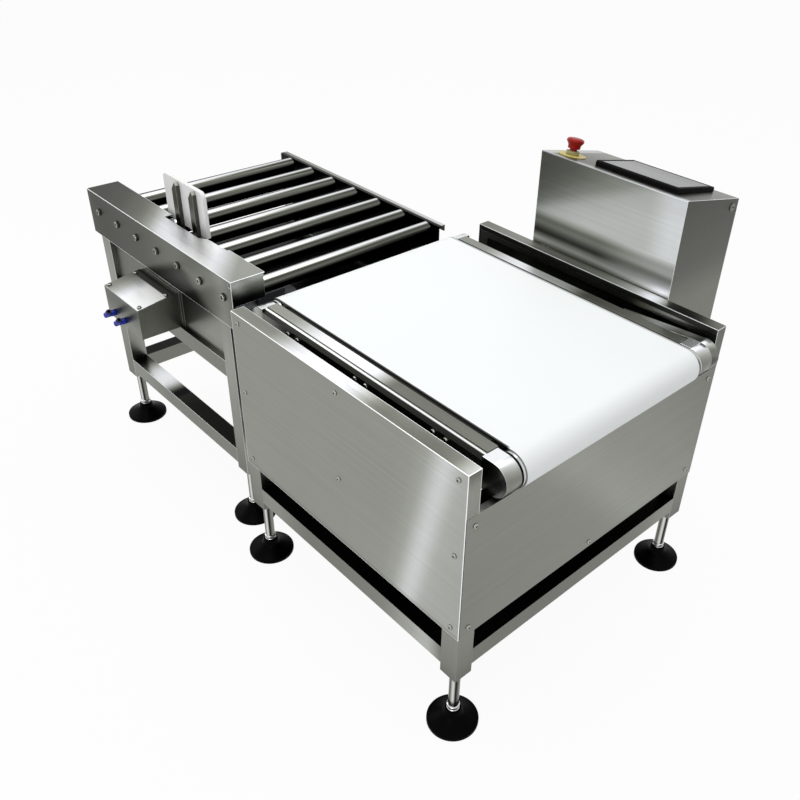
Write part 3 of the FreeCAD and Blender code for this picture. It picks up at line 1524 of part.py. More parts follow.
def make_stop_button():
    """The emergency stop: yellow ring plate, collar with its switch below, and the red mushroom head."""
    x, y = stop_spot()
    plate = rod("Z", (x, y, ZERO), s.stop_plate_radius, s.stop_plate_gauge)
    hole = prism("Z", (x, y, as_size(-1)), s.stop_hole, s.stop_plate_gauge + 2, 12)
    sub_part("stop_plate", cut(plate, hole), slope=True)
    top = s.stop_collar_top
    head_low = top + s.stop_travel + 0.5
    stem_low = as_size(4)
    collar = rod("Z", (x, y, s.stop_plate_gauge), s.stop_collar, top - s.stop_plate_gauge)
    neck = prism("Z", (x, y, as_size(-20)), s.stop_neck, 20 + s.stop_plate_gauge, 12)
    nut = hexagon("-Z", (x, y, -s.cabinet_wall), as_size(28), as_size(5))
    block = box((x - 15, x + 15), (y - 20, y + 20), (as_size(-55), as_size(-20)))
    bore_low = stem_low - s.stop_travel - 1
    bore = prism("Z", (x, y, bore_low), s.stop_stem + 0.1, top - bore_low + 1, 8)
    sub_part("stop_collar", cut(fuse(collar, neck, nut, block), bore), slope=True)
    high = head_low + s.stop_head_height
    head = turned("Z", (x, y, ZERO), [
        (ZERO, head_low), (s.stop_waist, head_low), (s.stop_waist, head_low + 7), (s.stop_head, high - 7),
        (s.stop_head, high - 3.5), (s.stop_head - 5, high), (ZERO, high),
    ])
    stem = prism("Z", (x, y, stem_low), s.stop_stem - 0.2, head_low - stem_low + 1, 8)
    sub_part("stop_button", fuse(head, stem), slope=True)


def make_control_plate():
    """Inside the cabinet: a back plate with the controller, the motor drive and the power supply."""
    low = cabinet_near + s.cabinet_wall
    x = (cabinet_low_x + 80, cabinet_high_x - 80)
    plate_high = low + s.cabinet_wall
    pieces = [box(x, (low, plate_high), (s.cabinet_bottom + 40, s.cabinet_bottom + 330))]
    shelf = s.cabinet_bottom + 200
    width = (x[1] - x[0]) / 3
    for index, deep in enumerate((95, 70, 110)):
        left = x[0] + width * index + 6
        pieces.append(box((left, left + width - 12), (plate_high, plate_high + deep), (shelf, shelf + 100)))
    pieces.append(box((x[0] + 6, x[1] - 6), (plate_high, plate_high + 60), (shelf - 130, shelf - 70)))
    sub_part("control_plate", *pieces)


def build():
    make_weigh_legs()
    make_weigh_rails()
    make_side_covers()
    make_end_panels()
    make_cover_screws()
    make_load_cell_beam()
    make_load_cell()
    make_weigh_platform()
    make_conveyor_rails()
    make_rail_strips()
    make_end_blocks()
    make_roller_bearings()
    make_drums()
    make_conveyor_ties()
    make_slider_bed()
    make_weigh_belt()
    make_belt_drive()
    make_drive_guard()
    make_bolts()
    make_bed_legs()
    make_bed_rails()
    make_module_links()
    make_bed_side_rails()
    make_bed_side_cover()
    make_bed_panels()
    make_bed_rollers()
    make_roller_axles()
    make_drive_cords()
    make_bed_motor()
    make_pusher_slider()
    make_pusher_carriage()
    make_pusher_arms()
    make_pusher_plate()
    make_valve_box()
    make_air_fittings()
    make_feet()
    make_cabinet()
    make_cabinet_door()
    make_door_lock()
    make_screen_unit()
    make_stop_button()
    make_control_plate()


def check_model():
    """Stops before anything is written if an object failed or a sub-part's shape is wrong."""
    for thing in document.Objects:
        if "Invalid" in thing.State or "Error" in thing.State:
            raise RuntimeError("%s (%s) failed: %s" % (thing.Name, thing.Label, thing.State))
    for thing in sub_parts:
        shape = thing.Shape
        if shape.isNull() or not shape.isValid() or not shape.Solids:
            raise RuntimeError("%s has no valid solid" % thing.Label)


def export():
    os.makedirs("parts", exist_ok=True)
    whole = FreeCAD.BoundBox()
    for thing in sub_parts:
        thing.Shape.exportStep("parts/%s.step" % thing.Label)
        whole.add(thing.Shape.BoundBox)
    print("%d sub-parts, box %s" % (len(sub_parts), whole))


build()
document.recompute()
check_model()
export()
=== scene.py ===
import math
from functools import reduce
import bmesh
import bpy
from mathutils import Matrix, Quaternion, Vector


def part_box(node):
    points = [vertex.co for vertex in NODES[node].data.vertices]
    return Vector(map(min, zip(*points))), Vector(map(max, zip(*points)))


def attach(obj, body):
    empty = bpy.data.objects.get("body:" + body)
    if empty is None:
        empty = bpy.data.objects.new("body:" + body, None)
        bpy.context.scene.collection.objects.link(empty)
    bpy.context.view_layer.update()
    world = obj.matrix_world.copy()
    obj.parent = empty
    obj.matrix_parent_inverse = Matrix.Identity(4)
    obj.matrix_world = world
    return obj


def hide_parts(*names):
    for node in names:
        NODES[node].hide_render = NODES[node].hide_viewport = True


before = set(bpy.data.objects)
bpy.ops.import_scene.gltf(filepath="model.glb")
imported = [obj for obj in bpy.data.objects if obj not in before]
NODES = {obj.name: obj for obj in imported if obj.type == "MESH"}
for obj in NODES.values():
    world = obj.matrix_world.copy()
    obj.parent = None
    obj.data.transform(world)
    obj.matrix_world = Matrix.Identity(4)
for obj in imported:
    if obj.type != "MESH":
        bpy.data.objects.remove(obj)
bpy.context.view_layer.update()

# Places below are in millimetres from the entry end face of the weigh module (x), the outer face of
# its near side cover (y) and the floor (z). The row frame's origin is the machine's middle.
SHIFT = Vector((664.25, -414.0, 0.0))
ENTRY, EXIT, FAR, NEAR, UP = (1, 0, 0), (-1, 0, 0), (0, 1, 0), (0, -1, 0), (0, 0, 1)
WEIGH_LENGTH, WEIGH_WIDTH = 650, 700

# The cabinet's sloped top starts at its near fold and falls towards the far side.
FOLD_Y, FOLD_Z = 702, 830.8
SLOPE = math.atan(41.6 / 200)
SLOPE_TURN = Quaternion(EXIT, SLOPE)


def at(x, y, z):
    return (Vector((x, y, z)) + SHIFT) / 1000


def on_slope(x, y, z):
    """A point given flat on the cabinet's top, moved to its slope."""
    turned = SLOPE_TURN @ Vector((0, y, z))
    return at(x, FOLD_Y + turned.y, FOLD_Z + turned.z)


def box_of(name):
    """The low and high corners of a CAD node, as places."""
    return [1000 * Vector(corner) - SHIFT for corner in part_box(name)]


def level(value):
    """The linear brightness that shows as this 8-bit grey."""
    share = value / 255
    return share / 12.92 if share < 0.04045 else ((share + 0.055) / 1.055) ** 2.4


# The camera, the floor and the light.

def make_camera():
    data = bpy.data.cameras.new("camera")
    data.lens = 38.855
    data.shift_x = -0.0653
    data.shift_y = 0.0046
    camera = bpy.data.objects.new("camera", data)
    bpy.context.scene.collection.objects.link(camera)
    azimuth, elevation, roll = (math.radians(angle) for angle in (44.918, 34.731, 2.826))
    back = Vector((math.sin(azimuth) * math.cos(elevation),
                   -math.cos(azimuth) * math.cos(elevation), math.sin(elevation)))
    flat = Vector((math.cos(azimuth), math.sin(azimuth), 0))
    upright = back.cross(flat)
    right = math.cos(roll) * flat + math.sin(roll) * upright
    up = math.cos(roll) * upright - math.sin(roll) * flat
    matrix = Matrix((right, up, back)).transposed().to_4x4()
    matrix.translation = Vector((1.33585, -1.1296, 1.4307))
    camera.matrix_world = matrix
    bpy.context.scene.camera = camera


def seen_directly(tree):
    """1 for camera, glossy and transmission rays, so that metal shows the same pale background."""
    path = tree.nodes.new("ShaderNodeLightPath")
    total = path.outputs["Is Camera Ray"]
    for name in ("Is Glossy Ray", "Is Transmission Ray"):
        add = tree.nodes.new("ShaderNodeMath")
        add.operation = "MAXIMUM"
        tree.links.new(total, add.inputs[0])
        tree.links.new(path.outputs[name], add.inputs[1])
        total = add.outputs[0]
    return total


def mix_shaders(tree, share, first, second, target):
    """first where share is 0 and second where it is 1."""
    blend = tree.nodes.new("ShaderNodeMixShader")
    for socket, output in zip(blend.inputs, (share, first.outputs[0], second.outputs[0])):
        tree.links.new(output, socket)
    tree.links.new(blend.outputs[0], target.inputs["Surface"])


def make_floor():
    """A floor that shows almost white and keeps a little of the object's shadow."""
    reach, white, glow_share = 14, 0.88, 0.94
    mesh = bpy.data.meshes.new("floor")
    corners = [(x * reach, y * reach, 0) for x, y in ((-1, -1), (1, -1), (1, 1), (-1, 1))]
    mesh.from_pydata(corners, [], [(0, 1, 2, 3)])
    floor = bpy.data.objects.new("floor", mesh)
    bpy.context.scene.collection.objects.link(floor)
    material = bpy.data.materials.new("floor")
    material.use_nodes = True
    tree = material.node_tree
    surface = tree.nodes["Principled BSDF"]
    surface.inputs["Base Color"].default_value = (white, white, white, 1)
    surface.inputs["Roughness"].default_value = 0.9
    surface.inputs["Specular IOR Level"].default_value = 0.1
    glow = tree.nodes.new("ShaderNodeEmission")
    share = tree.nodes.new("ShaderNodeMath")
    share.operation = "MULTIPLY"
    share.inputs[1].default_value = glow_share
    tree.links.new(seen_directly(tree), share.inputs[0])
    mix_shaders(tree, share.outputs[0], surface, glow, tree.nodes["Material Output"])
    mesh.materials.append(material)


def make_world():
    """A soft light all round. The world that the camera and the metal see is plain white."""
    world = bpy.data.worlds.new("world")
    bpy.context.scene.world = world
    world.use_nodes = True
    tree = world.node_tree
    ground = tree.nodes["Background"]
    ground.inputs["Strength"].default_value = 0.55
    shown = tree.nodes.new("ShaderNodeBackground")
    shown.inputs["Strength"].default_value = 1
    for node in (ground, shown):
        node.inputs["Color"].default_value = (1, 1, 1, 1)
    mix_shaders(tree, seen_directly(tree), ground, shown, tree.nodes["World Output"])


def make_lamp(name, place, target, size, power):
    data = bpy.data.lights.new(name, "AREA")
    data.shape = "RECTANGLE"
    data.size, data.size_y = size
    data.energy = power
    lamp = bpy.data.objects.new(name, data)
    bpy.context.scene.collection.objects.link(lamp)
    lamp.location = place
    lamp.rotation_mode = "QUATERNION"
    lamp.rotation_quaternion = (Vector(target) - Vector(place)).to_track_quat("-Z", "Y")


# Materials.

class Finish:
    """One material's node tree, with short calls for the nodes that its detail is made of."""

    def __init__(self, name, metallic=0.0, roughness=0.5, specular=0.5):
        self.material = bpy.data.materials.new(name)
        self.material.use_nodes = True
        self.tree = self.material.node_tree
        self.shader = self.tree.nodes["Principled BSDF"]
        self.shader.inputs["Metallic"].default_value = metallic
        self.shader.inputs["Roughness"].default_value = roughness
        self.shader.inputs["Specular IOR Level"].default_value = specular
        where = self.tree.nodes.new("ShaderNodeTexCoord")
        self.place = where.outputs["Object"]
        self.normal = where.outputs["Normal"]

    def fill(self, socket, value):
        if isinstance(value, bpy.types.NodeSocket):
            self.tree.links.new(value, socket)
        else:
            socket.default_value = value

    def math(self, operation, *values, clamp=False):
        node = self.tree.nodes.new("ShaderNodeMath")
        node.operation = operation
        node.use_clamp = clamp
        for socket, value in zip(node.inputs, values):
            self.fill(socket, value)
        return node.outputs[0]

    def product(self, *values):
        return reduce(lambda total, value: self.math("MULTIPLY", total, value), values)

    def most(self, *values):
        return reduce(lambda total, value: self.math("MAXIMUM", total, value), values)

    def scaled(self, value, by, plus):
        return self.math("MULTIPLY_ADD", value, by, plus)

    def constant(self, value):
        return self.math("MULTIPLY", value, 1.0)

    def parts(self, vector):
        node = self.tree.nodes.new("ShaderNodeSeparateXYZ")
        self.fill(node.inputs[0], vector)
        return node.outputs

    def dot(self, *values):
        node = self.tree.nodes.new("ShaderNodeVectorMath")
        node.operation = "DOT_PRODUCT"
        for socket, value in zip(node.inputs, values):
            self.fill(socket, value)
        return node.outputs["Value"]

    def along(self, direction):
        """Distance in millimetres along a direction, from the machine's entry corner."""
        local = self.dot(self.place, tuple(1000 * part for part in direction))
        return self.math("SUBTRACT", local, SHIFT.dot(Vector(direction)))

    def round_angle(self):
        """Degrees of the surface's direction round the Y axis, from +X towards +Z. It is taken in
        the world, so that a roller's reflections stay in place while it turns."""
        x, _, z = self.parts(self.tree.nodes.new("ShaderNodeNewGeometry").outputs["Normal"])
        return self.math("MULTIPLY", self.math("ARCTAN2", z, x), 180 / math.pi)

    def smooth(self, value, low, high):
        """0 at low and 1 at high, which may also lie below low."""
        node = self.tree.nodes.new("ShaderNodeMapRange")
        node.interpolation_type = "SMOOTHSTEP"
        self.fill(node.inputs["Value"], value)
        node.inputs["From Min"].default_value = low
        node.inputs["From Max"].default_value = high
        return node.outputs["Result"]

    def noise(self, scale, detail=2.0, roughness=0.5, seed=(0, 0, 0)):
        spread = self.tree.nodes.new("ShaderNodeMapping")
        self.fill(spread.inputs["Vector"], self.place)
        spread.inputs["Scale"].default_value = scale if hasattr(scale, "__len__") else (scale,) * 3
        spread.inputs["Location"].default_value = seed
        node = self.tree.nodes.new("ShaderNodeTexNoise")
        self.fill(node.inputs["Vector"], spread.outputs[0])
        node.inputs["Scale"].default_value = 1
        node.inputs["Detail"].default_value = detail
        node.inputs["Roughness"].default_value = roughness
        return node.outputs[0]

    def ramp(self, value, stops):
        """A brightness curve: stops are (distance or angle, 8-bit grey) in rising order."""
        low, high = stops[0][0], stops[-1][0]
        node = self.tree.nodes.new("ShaderNodeValToRGB")
        ramp = node.color_ramp
        ramp.interpolation = "EASE" if len(stops) < 3 else "CARDINAL"
        share = self.math("DIVIDE", self.math("SUBTRACT", value, low), high - low, clamp=True)
        self.fill(node.inputs[0], share)
        ends = ramp.elements[0], ramp.elements[-1]
        for element, (_, grey) in zip(ends, (stops[0], stops[-1])):
            element.color = (level(grey),) * 3 + (1,)
        for spot, grey in stops[1:-1]:
            ramp.elements.new((spot - low) / (high - low)).color = (level(grey),) * 3 + (1,)
        return self.constant(node.outputs[0])

    def tones(self, direction, stops):
        return self.ramp(self.along(direction), stops)

    def blend(self, first, second, share):
        """first where share is 0 and second where it is 1."""
        away = self.math("SUBTRACT", second, first)
        return self.scaled(away, share, first)

    def swing(self, value, amount):
        """Turns a noise of about 0 to 1 into a factor of about 1 - amount to 1 + amount."""
        return self.scaled(value, 2 * amount, 1 - amount)

    def facing(self, direction, low=0.85, high=0.95):
        return self.smooth(self.dot(self.normal, direction), low, high)

    def outline(self, name):
        """1 in a line about a millimetre wide along the edges of a node's box."""
        low, high = box_of(name)
        depth = []
        for part, direction in enumerate((ENTRY, FAR, UP)):
            spot = self.along(direction)
            depth.append(self.math("MINIMUM", self.math("SUBTRACT", spot, low[part]),
                                   self.math("SUBTRACT", high[part], spot)))
        lesser, greater = self.math("MINIMUM", *depth[:2]), self.math("MAXIMUM", *depth[:2])
        middle = self.most(lesser, self.math("MINIMUM", greater, depth[2]))
        return self.smooth(middle, 1.4, 0.8)

    def edges(self):
        """1 on the rounded edges between faces that lie along the axes."""
        most = self.most(*[self.math("ABSOLUTE", part) for part in self.parts(self.normal)])
        return self.math("SUBTRACT", 1, self.smooth(most, 0.9, 0.995))

    def paint(self, grey, tint):
        """Colours the surface with a brightness value times a tint."""
        colour = self.tree.nodes.new("ShaderNodeCombineColor")
        for socket, share in zip(colour.inputs, tint):
            self.fill(socket, self.math("MULTIPLY", grey, share))
        self.fill(self.shader.inputs["Base Color"], colour.outputs[0])

    def paint_steel(self, grey):
        """Stainless steel is faintly olive where it is dark and faintly blue where it is bright."""
        bright = self.smooth(grey, 0.12, 0.85)
        dark_tint, bright_tint = (0.965, 0.99, 0.86), (0.985, 1.0, 1.03)
        self.paint(grey, [self.blend(dark, pale, bright)
                          for dark, pale in zip(dark_tint, bright_tint)])

    def bump(self, height, distance, strength):
        node = self.tree.nodes.new("ShaderNodeBump")
        node.inputs["Strength"].default_value = strength
        node.inputs["Distance"].default_value = distance
        self.fill(node.inputs["Height"], height)
        self.fill(self.shader.inputs["Normal"], node.outputs[0])

    def wear(self, value, low, high):
        """Roughness between two values."""
        self.fill(self.shader.inputs["Roughness"], self.scaled(value, high - low, low))

    def tint_rim(self, rim):
        """Lowers the rise in brightness that metal has where it is seen at a flat angle."""
        self.shader.inputs["Specular Tint"].default_value = (rim, rim, rim, 1)


GRAIN = {"X": (5, 420, 420), "Y": (420, 5, 420), "Z": (420, 420, 5)}
TURNING = {"X": (900, 40, 40), "Y": (40, 900, 40), "Z": (40, 40, 900)}


def brushed(name, grey, grain="X", faces=(), edge=190, edge_highlight=0.75, rim=0.8, extra=None,
            outline=None):
    """Brushed stainless steel: fine lines along the grain, slow changes of tone and painted
    highlights
    along its edges. faces are (facing, direction, stops): how the studio's light and dark are
    painted along one face. outline is a node whose box edges get the same painted highlight."""
    finish = Finish(name, metallic=1.0)
    finish.shader.inputs["Anisotropic"].default_value = 0.4
    finish.tint_rim(rim)
    tone = finish.constant(level(grey))
    for facing, direction, stops in faces:
        tone = finish.blend(tone, finish.tones(direction, stops), finish.facing(facing))
    fine = finish.noise(GRAIN[grain], detail=4, roughness=0.65)
    coarse = [0.4 * size for size in GRAIN[grain]]
    lines = finish.noise(coarse, detail=3, roughness=0.7, seed=(1.3, 4.2, 2.6))
    broad = finish.noise(6, detail=2, seed=(3.1, 0.7, 1.9))
    # Painted highlight: the rounded edges are painted pale, as lines of light.
    tone = finish.blend(tone, level(edge), finish.product(finish.edges(), edge_highlight))
    if extra:
        tone = extra(finish, tone)
    # Painted highlight along the edges of the outline node's box.
    if outline:
        tone = finish.blend(tone, level(edge), finish.product(finish.outline(outline), edge_highlight))
    finish.paint_steel(finish.product(tone, finish.swing(fine, 0.1), finish.swing(lines, 0.11),
                                      finish.swing(broad, 0.05)))
    finish.wear(fine, 0.24, 0.4)
    finish.bump(fine, 0.0002, 0.25)
    return finish.material


def polished(name, grey, rough=(0.08, 0.2), turned_about="Y", rim=0.8, extra=None):
    """Turned or ground bright steel with faint marks round its axis."""
    finish = Finish(name, metallic=1.0)
    finish.tint_rim(rim)
    fine = finish.noise(TURNING[turned_about], detail=3)
    smudge = finish.noise(18, detail=3, seed=(5, 2, 8))
    tone = finish.constant(level(grey))
    if extra:
        tone = extra(finish, tone)
    finish.paint_steel(finish.product(tone, finish.swing(fine, 0.06), finish.swing(smudge, 0.05)))
    finish.wear(smudge, *rough)
    finish.bump(fine, 0.0001, 0.15)
    return finish.material


def satin(name, colour, rough=(0.35, 0.55), metallic=0.0, specular=0.5, extra=None):
    """Moulded plastic, rubber, anodising or paint: a fine grain and slow changes of sheen."""
    finish = Finish(name, metallic=metallic, specular=specular)
    fine = finish.noise(1500, detail=2)
    broad = finish.noise(14, detail=3, seed=(1, 6, 2))
    top = max(colour)
    tone = finish.constant(top)
    if extra:
        tone = extra(finish, tone)
    finish.paint(finish.product(tone, finish.swing(broad, 0.06), finish.swing(fine, 0.04)),
                 [part / top for part in colour])
    finish.wear(broad, *rough)
    finish.bump(fine, 0.0001, 0.3)
    return finish.material


def soften(name, width):
    """Rounds a CAD node's sharp edges without touching its mesh. The triangles of each flat face
    are joined first, so that only real edges are rounded."""
    thing = NODES[name]
    weld = thing.modifiers.new("weld", "WELD")
    weld.merge_threshold = 0.00001
    flat = thing.modifiers.new("flat", "DECIMATE")
    flat.decimate_type = "DISSOLVE"
    flat.angle_limit = math.radians(0.6)
    edge = thing.modifiers.new("edge", "BEVEL")
    edge.width = width / 1000
    edge.segments = 2
    edge.limit_method = "ANGLE"
    edge.angle_limit = math.radians(38)
    edge.harden_normals = True
    edge.miter_outer = "MITER_ARC"


def cover(material, *names, edge=None):
    """Gives CAD nodes a material and, if edge is given, edges rounded by so many millimetres."""
    for name in names:
        mesh = NODES[name].data
        mesh.materials.clear()
        mesh.materials.append(material)
        if edge:
            soften(name, edge)


# Building meshes.

class Six:
    """A six-sided ring in a turned profile, by the distance from its middle to its flats."""

    def __init__(self, flat):
        self.flat = flat

    def reach(self, angle):
        return self.flat / math.cos((angle + math.pi / 6) % (math.pi / 3) - math.pi / 6)


class Slot:
    """A long ring in a turned profile, by half its length and half its width."""

    def __init__(self, length, width):
        self.length, self.width = length, width

    def reach(self, angle):
        return min(self.length / max(abs(math.cos(angle)), 1e-6),
                   self.width / max(abs(math.sin(angle)), 1e-6))


class Shape:
    """A mesh that is being built, in metres in the row frame."""

    def __init__(self):
        self.mesh = bmesh.new()

    def lathe(self, start, axis, profile, segments=48, turn_by=0.0, parts=()):
        """Turns (ring, distance along the axis) points, in millimetres, about an axis. A ring is a
        radius, a Six or a Slot. parts are (first step, material number) pairs in rising order."""
        turn = Vector((0, 0, 1)).rotation_difference(Vector(axis).normalized())
        rings = []
        for ring, height in profile:
            if ring == 0:
                rings.append([self.mesh.verts.new(start + turn @ Vector((0, 0, height / 1000)))])
                continue
            spots = []
            for index in range(segments):
                angle = 2 * math.pi * index / segments
                reach = ring.reach(angle) if hasattr(ring, "reach") else ring
                turned = angle + turn_by
                spot = Vector((reach * math.cos(turned), reach * math.sin(turned), height))
                spots.append(self.mesh.verts.new(start + turn @ (spot / 1000)))
            rings.append(spots)
        for step, (low, high) in enumerate(zip(rings, rings[1:])):
            part = 0
            for first, number in parts:
                if step >= first:
                    part = number
            for index in range(segments):
                after = (index + 1) % segments
                corners = [low[index % len(low)], low[after % len(low)], high[after % len(high)],
                           high[index % len(high)]]
                face = self.mesh.faces.new(list(dict.fromkeys(corners)))
                face.material_index = part

    def finish(self, name, body, slot, *materials, angle=35, stands_for=()):
        bmesh.ops.recalc_face_normals(self.mesh, faces=self.mesh.faces)
        data = bpy.data.meshes.new(name)
        self.mesh.to_mesh(data)
        self.mesh.free()
        data.shade_smooth()
        data.set_sharp_from_angle(angle=math.radians(angle))
        for material in materials:
            data.materials.append(material)
        thing = bpy.data.objects.new(name, data)
        bpy.context.scene.collection.objects.link(thing)
        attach(thing, body)
        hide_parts(*stands_for)


# Finishes of the weigh module. The stops of each list are (millimetres or degrees, 8-bit grey), and
# they paint the studio's reflections and shade.

def near_cover_tone(finish, tone):
    """The cover's lowest edge stands in the shade of the rail behind it."""
    height = finish.smooth(finish.along(UP), 256, 272)
    return finish.product(tone, finish.blend(0.72, 1.0, height))


def rail_bevel_tone(finish, tone):
    """The sloped strip between the side rail's top and its side catches the light at the top."""
    bevel = (0.0, -0.644, 0.765)
    light = finish.tones(UP, [(597, 40), (601, 48), (602.6, 90), (603.8, 235), (606, 245)])
    return finish.blend(tone, light, finish.facing(bevel))


def end_block_tone(finish, tone):
    """Painted reflections on the end blocks' round noses, by the direction that each point faces,
    and on their near faces, by place.
    """
    nose = finish.ramp(finish.round_angle(), [
        (-90, 50), (-30, 84), (-10, 130), (20, 132), (45, 170), (60, 210), (72, 252), (88, 238),
        (105, 235), (180, 235)])
    side = finish.tones(ENTRY, [
        (-690, 210), (-640, 120), (-60, 40), (-24, 150), (-4, 245), (22, 255)])
    return finish.blend(nose, side, finish.facing(NEAR))


def guard_tone(finish, tone):
    """Painted reflections on the belt guard's round nose, by direction, and on its top, by place.
    """
    nose = finish.ramp(finish.round_angle(), [
        (-90, 60), (-25, 120), (0, 82), (20, 117), (45, 130), (62, 190), (80, 238)])
    top = finish.tones(ENTRY, [
        (-208, 150), (-165, 178), (-125, 226), (-100, 228), (-65, 166), (-45, 176), (-22, 105)])
    nose = finish.blend(top, nose, finish.smooth(finish.along(ENTRY), -14, -8))
    return finish.blend(nose, tone, finish.facing(FAR))


def finish_covers():
    face = [(-900, 148), (-300, 150), (-258, 157), (-232, 174), (-198, 210), (-165, 184),
            (-140, 174), (-60, 170)]
    flange = [(-650, 140), (-560, 136), (-520, 148), (-480, 196), (-430, 240), (-340, 246),
              (-280, 212), (-235, 138), (-160, 120), (-40, 122), (0, 190)]
    end = [(525, 138), (560, 145), (596, 140), (618, 112)]
    inner = [(-650, 115), (0, 125)]
    faces = [(NEAR, (1, 0, -0.24), face), (UP, ENTRY, flange), (ENTRY, UP, end),
             (FAR, ENTRY, inner)]
    steel = brushed("near_cover", 60, "X", faces, edge=255, edge_highlight=1.0, extra=near_cover_tone,
                    outline="near_side_cover")
    cover(steel, "near_side_cover", edge=1.0)

    flange = [(-650, 122), (-520, 138), (-480, 114), (-360, 110), (-280, 128), (-240, 146),
              (-200, 186), (-160, 240), (-120, 90), (0, 116)]
    outer = [(-650, 150), (-300, 185), (-120, 150), (0, 140)]
    faces = [(UP, ENTRY, flange), (ENTRY, UP, [(525, 118), (620, 108)]),
             (FAR, (1, 0, 0.3), outer)]
    steel = brushed("far_cover", 70, "X", faces, edge=235, edge_highlight=0.7, outline="far_side_cover")
    cover(steel, "far_side_cover", edge=0.7)

    face = [(300, 132), (640, 137), (700, 142), (770, 154), (900, 146), (1000, 140), (1220, 124)]
    faces = [(ENTRY, (0, 1, 1), face), (UP, FAR, [(0, 180), (700, 186)])]
    cover(brushed("end_panel", 120, "Y", faces, edge=175), "end_panels", edge=0.5)


def finish_weigh_frame():
    side = [(-650, 133), (-560, 142), (-480, 127), (-400, 120), (-200, 134), (-120, 168),
            (-75, 180), (-38, 118), (0, 131)]
    end = [(0, 118), (400, 117), (570, 127), (610, 139), (700, 137)]
    # Painted shade: the rails' tops, which lie under the covers, are near black.
    faces = [(NEAR, ENTRY, side), (UP, ENTRY, [(-650, 24), (0, 24)]), (ENTRY, FAR, end)]
    cover(brushed("frame_tube", 120, "X", faces, edge=205), "weigh_rails", edge=1.6)

    faces = [(NEAR, UP, [(144, 113), (170, 125), (250, 139)]),
             (ENTRY, UP, [(144, 108), (170, 119), (250, 133)])]
    cover(brushed("weigh_leg", 128, "Z", faces, edge=250, edge_highlight=1.0), "weigh_legs", edge=2.2)


def finish_conveyor():
    faces = [(UP, ENTRY, [(-650, 120), (-450, 190), (-300, 160), (0, 120)]),
             (NEAR, ENTRY, [(-650, 110), (-200, 90), (0, 165)]),
             (FAR, ENTRY, [(-650, 40), (0, 40)])]
    rail = brushed("anodised_rail", 70, "X", faces, edge=120, edge_highlight=0.4, extra=rail_bevel_tone)
    cover(rail, "conveyor_rails", edge=0.6)
    top = [(-650, 150), (-560, 160), (-520, 204), (-470, 242), (-360, 252), (-322, 234),
           (-285, 142), (-250, 118), (-20, 124)]
    cover(brushed("strip", 60, "X", [(UP, ENTRY, top)], edge=150), "rail_strips", edge=0.4)
    block = polished("end_block", 180, rough=(0.16, 0.28), extra=end_block_tone)
    cover(block, "end_blocks", edge=0.8)
    anodised = satin("anodised", (level(150),) * 3, metallic=0.8)
    cover(anodised, "load_cell", "weigh_platform", "conveyor_ties", edge=0.6)
    pulley = satin("pulley", (level(185),) * 3, metallic=0.8)
    cover(pulley, "drum_pulley", "motor_pulley", "bed_motor_pulley")
    cover(polished("drum", 200), "drive_drum", "tail_drum", "roller_bearings")
    guard = brushed("guard", 120, "X", edge=240, edge_highlight=0.8, extra=guard_tone)
    cover(guard, "drive_guard", edge=0.6)
    cover(brushed("slider", 36, "X", edge=60), "slider_bed", edge=0.6)
    plate = brushed("dark_plate", 70, "X", edge=120)
    cover(plate, "load_cell_beam", "control_plate", edge=0.6)
    cover(satin("motor_paint", (0.05, 0.055, 0.065)), "drive_motor", "bed_motor", edge=0.8)
    cover(satin("drive_rubber", (0.02, 0.02, 0.02)), "timing_belt", "drive_cords")
    cover(belt_finish(), "weigh_belt")


def belt_finish():
    """The white belt: a smooth coated face with a faint weave. Its cut edges are painted a little
    darker, as shade, and so are the strips beside them, which lie in the shade of the rails."""
    finish = Finish("belt", roughness=0.45, specular=0.3)
    weave = finish.noise(900, detail=1)
    broad = finish.noise(3, detail=2)
    tone = finish.product(0.92, finish.swing(weave, 0.012), finish.swing(broad, 0.012))
    sideways = finish.math("ABSOLUTE", finish.dot(finish.normal, FAR))
    x, y = finish.along(ENTRY), finish.along(FAR)
    # Painted shade on the belt's sideways faces and on the strips beside the rails.
    cut = finish.blend(1.0, 0.35, finish.smooth(sideways, 0.6, 0.9))
    past_near_strip = finish.most(finish.smooth(y, 111.5, 112.5), finish.smooth(x, -26, -18))
    near = finish.blend(0.04, 1.0, past_near_strip)
    far_strip = finish.blend(0.08, 0.55, finish.facing(UP, 0.5, 0.9))
    far = finish.blend(far_strip, 1.0, finish.smooth(y, 587, 585.5))
    finish.paint(finish.product(tone, cut, near, far), (0.972, 1.0, 1.0))
    finish.bump(weave, 0.0001, 0.12)
    return finish.material


# Finishes of the roller bed. Their stops, too, paint the studio's reflections and shade.

def bed_cover_tone(finish, tone):
    """The dark reflection of the valve box low on the cover's face, with two slanted sides."""
    x, z = finish.along(ENTRY), finish.along(UP)
    drop = finish.math("SUBTRACT", z, 540)
    left = finish.smooth(finish.scaled(drop, -2.2, x), -1100, -1040)
    right = finish.smooth(finish.scaled(drop, 1.2, x), -785, -865)
    inside = finish.product(left, right, finish.smooth(z, 604, 592), finish.facing(NEAR))
    dark = finish.ramp(z, [(532, 28), (545, 34), (562, 52), (600, 80)])
    return finish.blend(tone, dark, inside)


def roller_tone(finish, tone):
    """A polished roller's bands of light and dark, which lean a little along its length."""
    middle, lean = 350, 1 / 25
    turned = finish.scaled(finish.along(FAR), lean, -lean * middle)
    angle = finish.math("SUBTRACT", finish.round_angle(), turned)
    return finish.ramp(angle, [
        (-30, 6), (8, 10), (20, 70), (30, 100), (42, 80), (53, 84), (61, 165), (70, 245), (80, 250),
        (90, 210), (100, 130), (112, 85), (130, 80), (150, 120), (175, 90)])


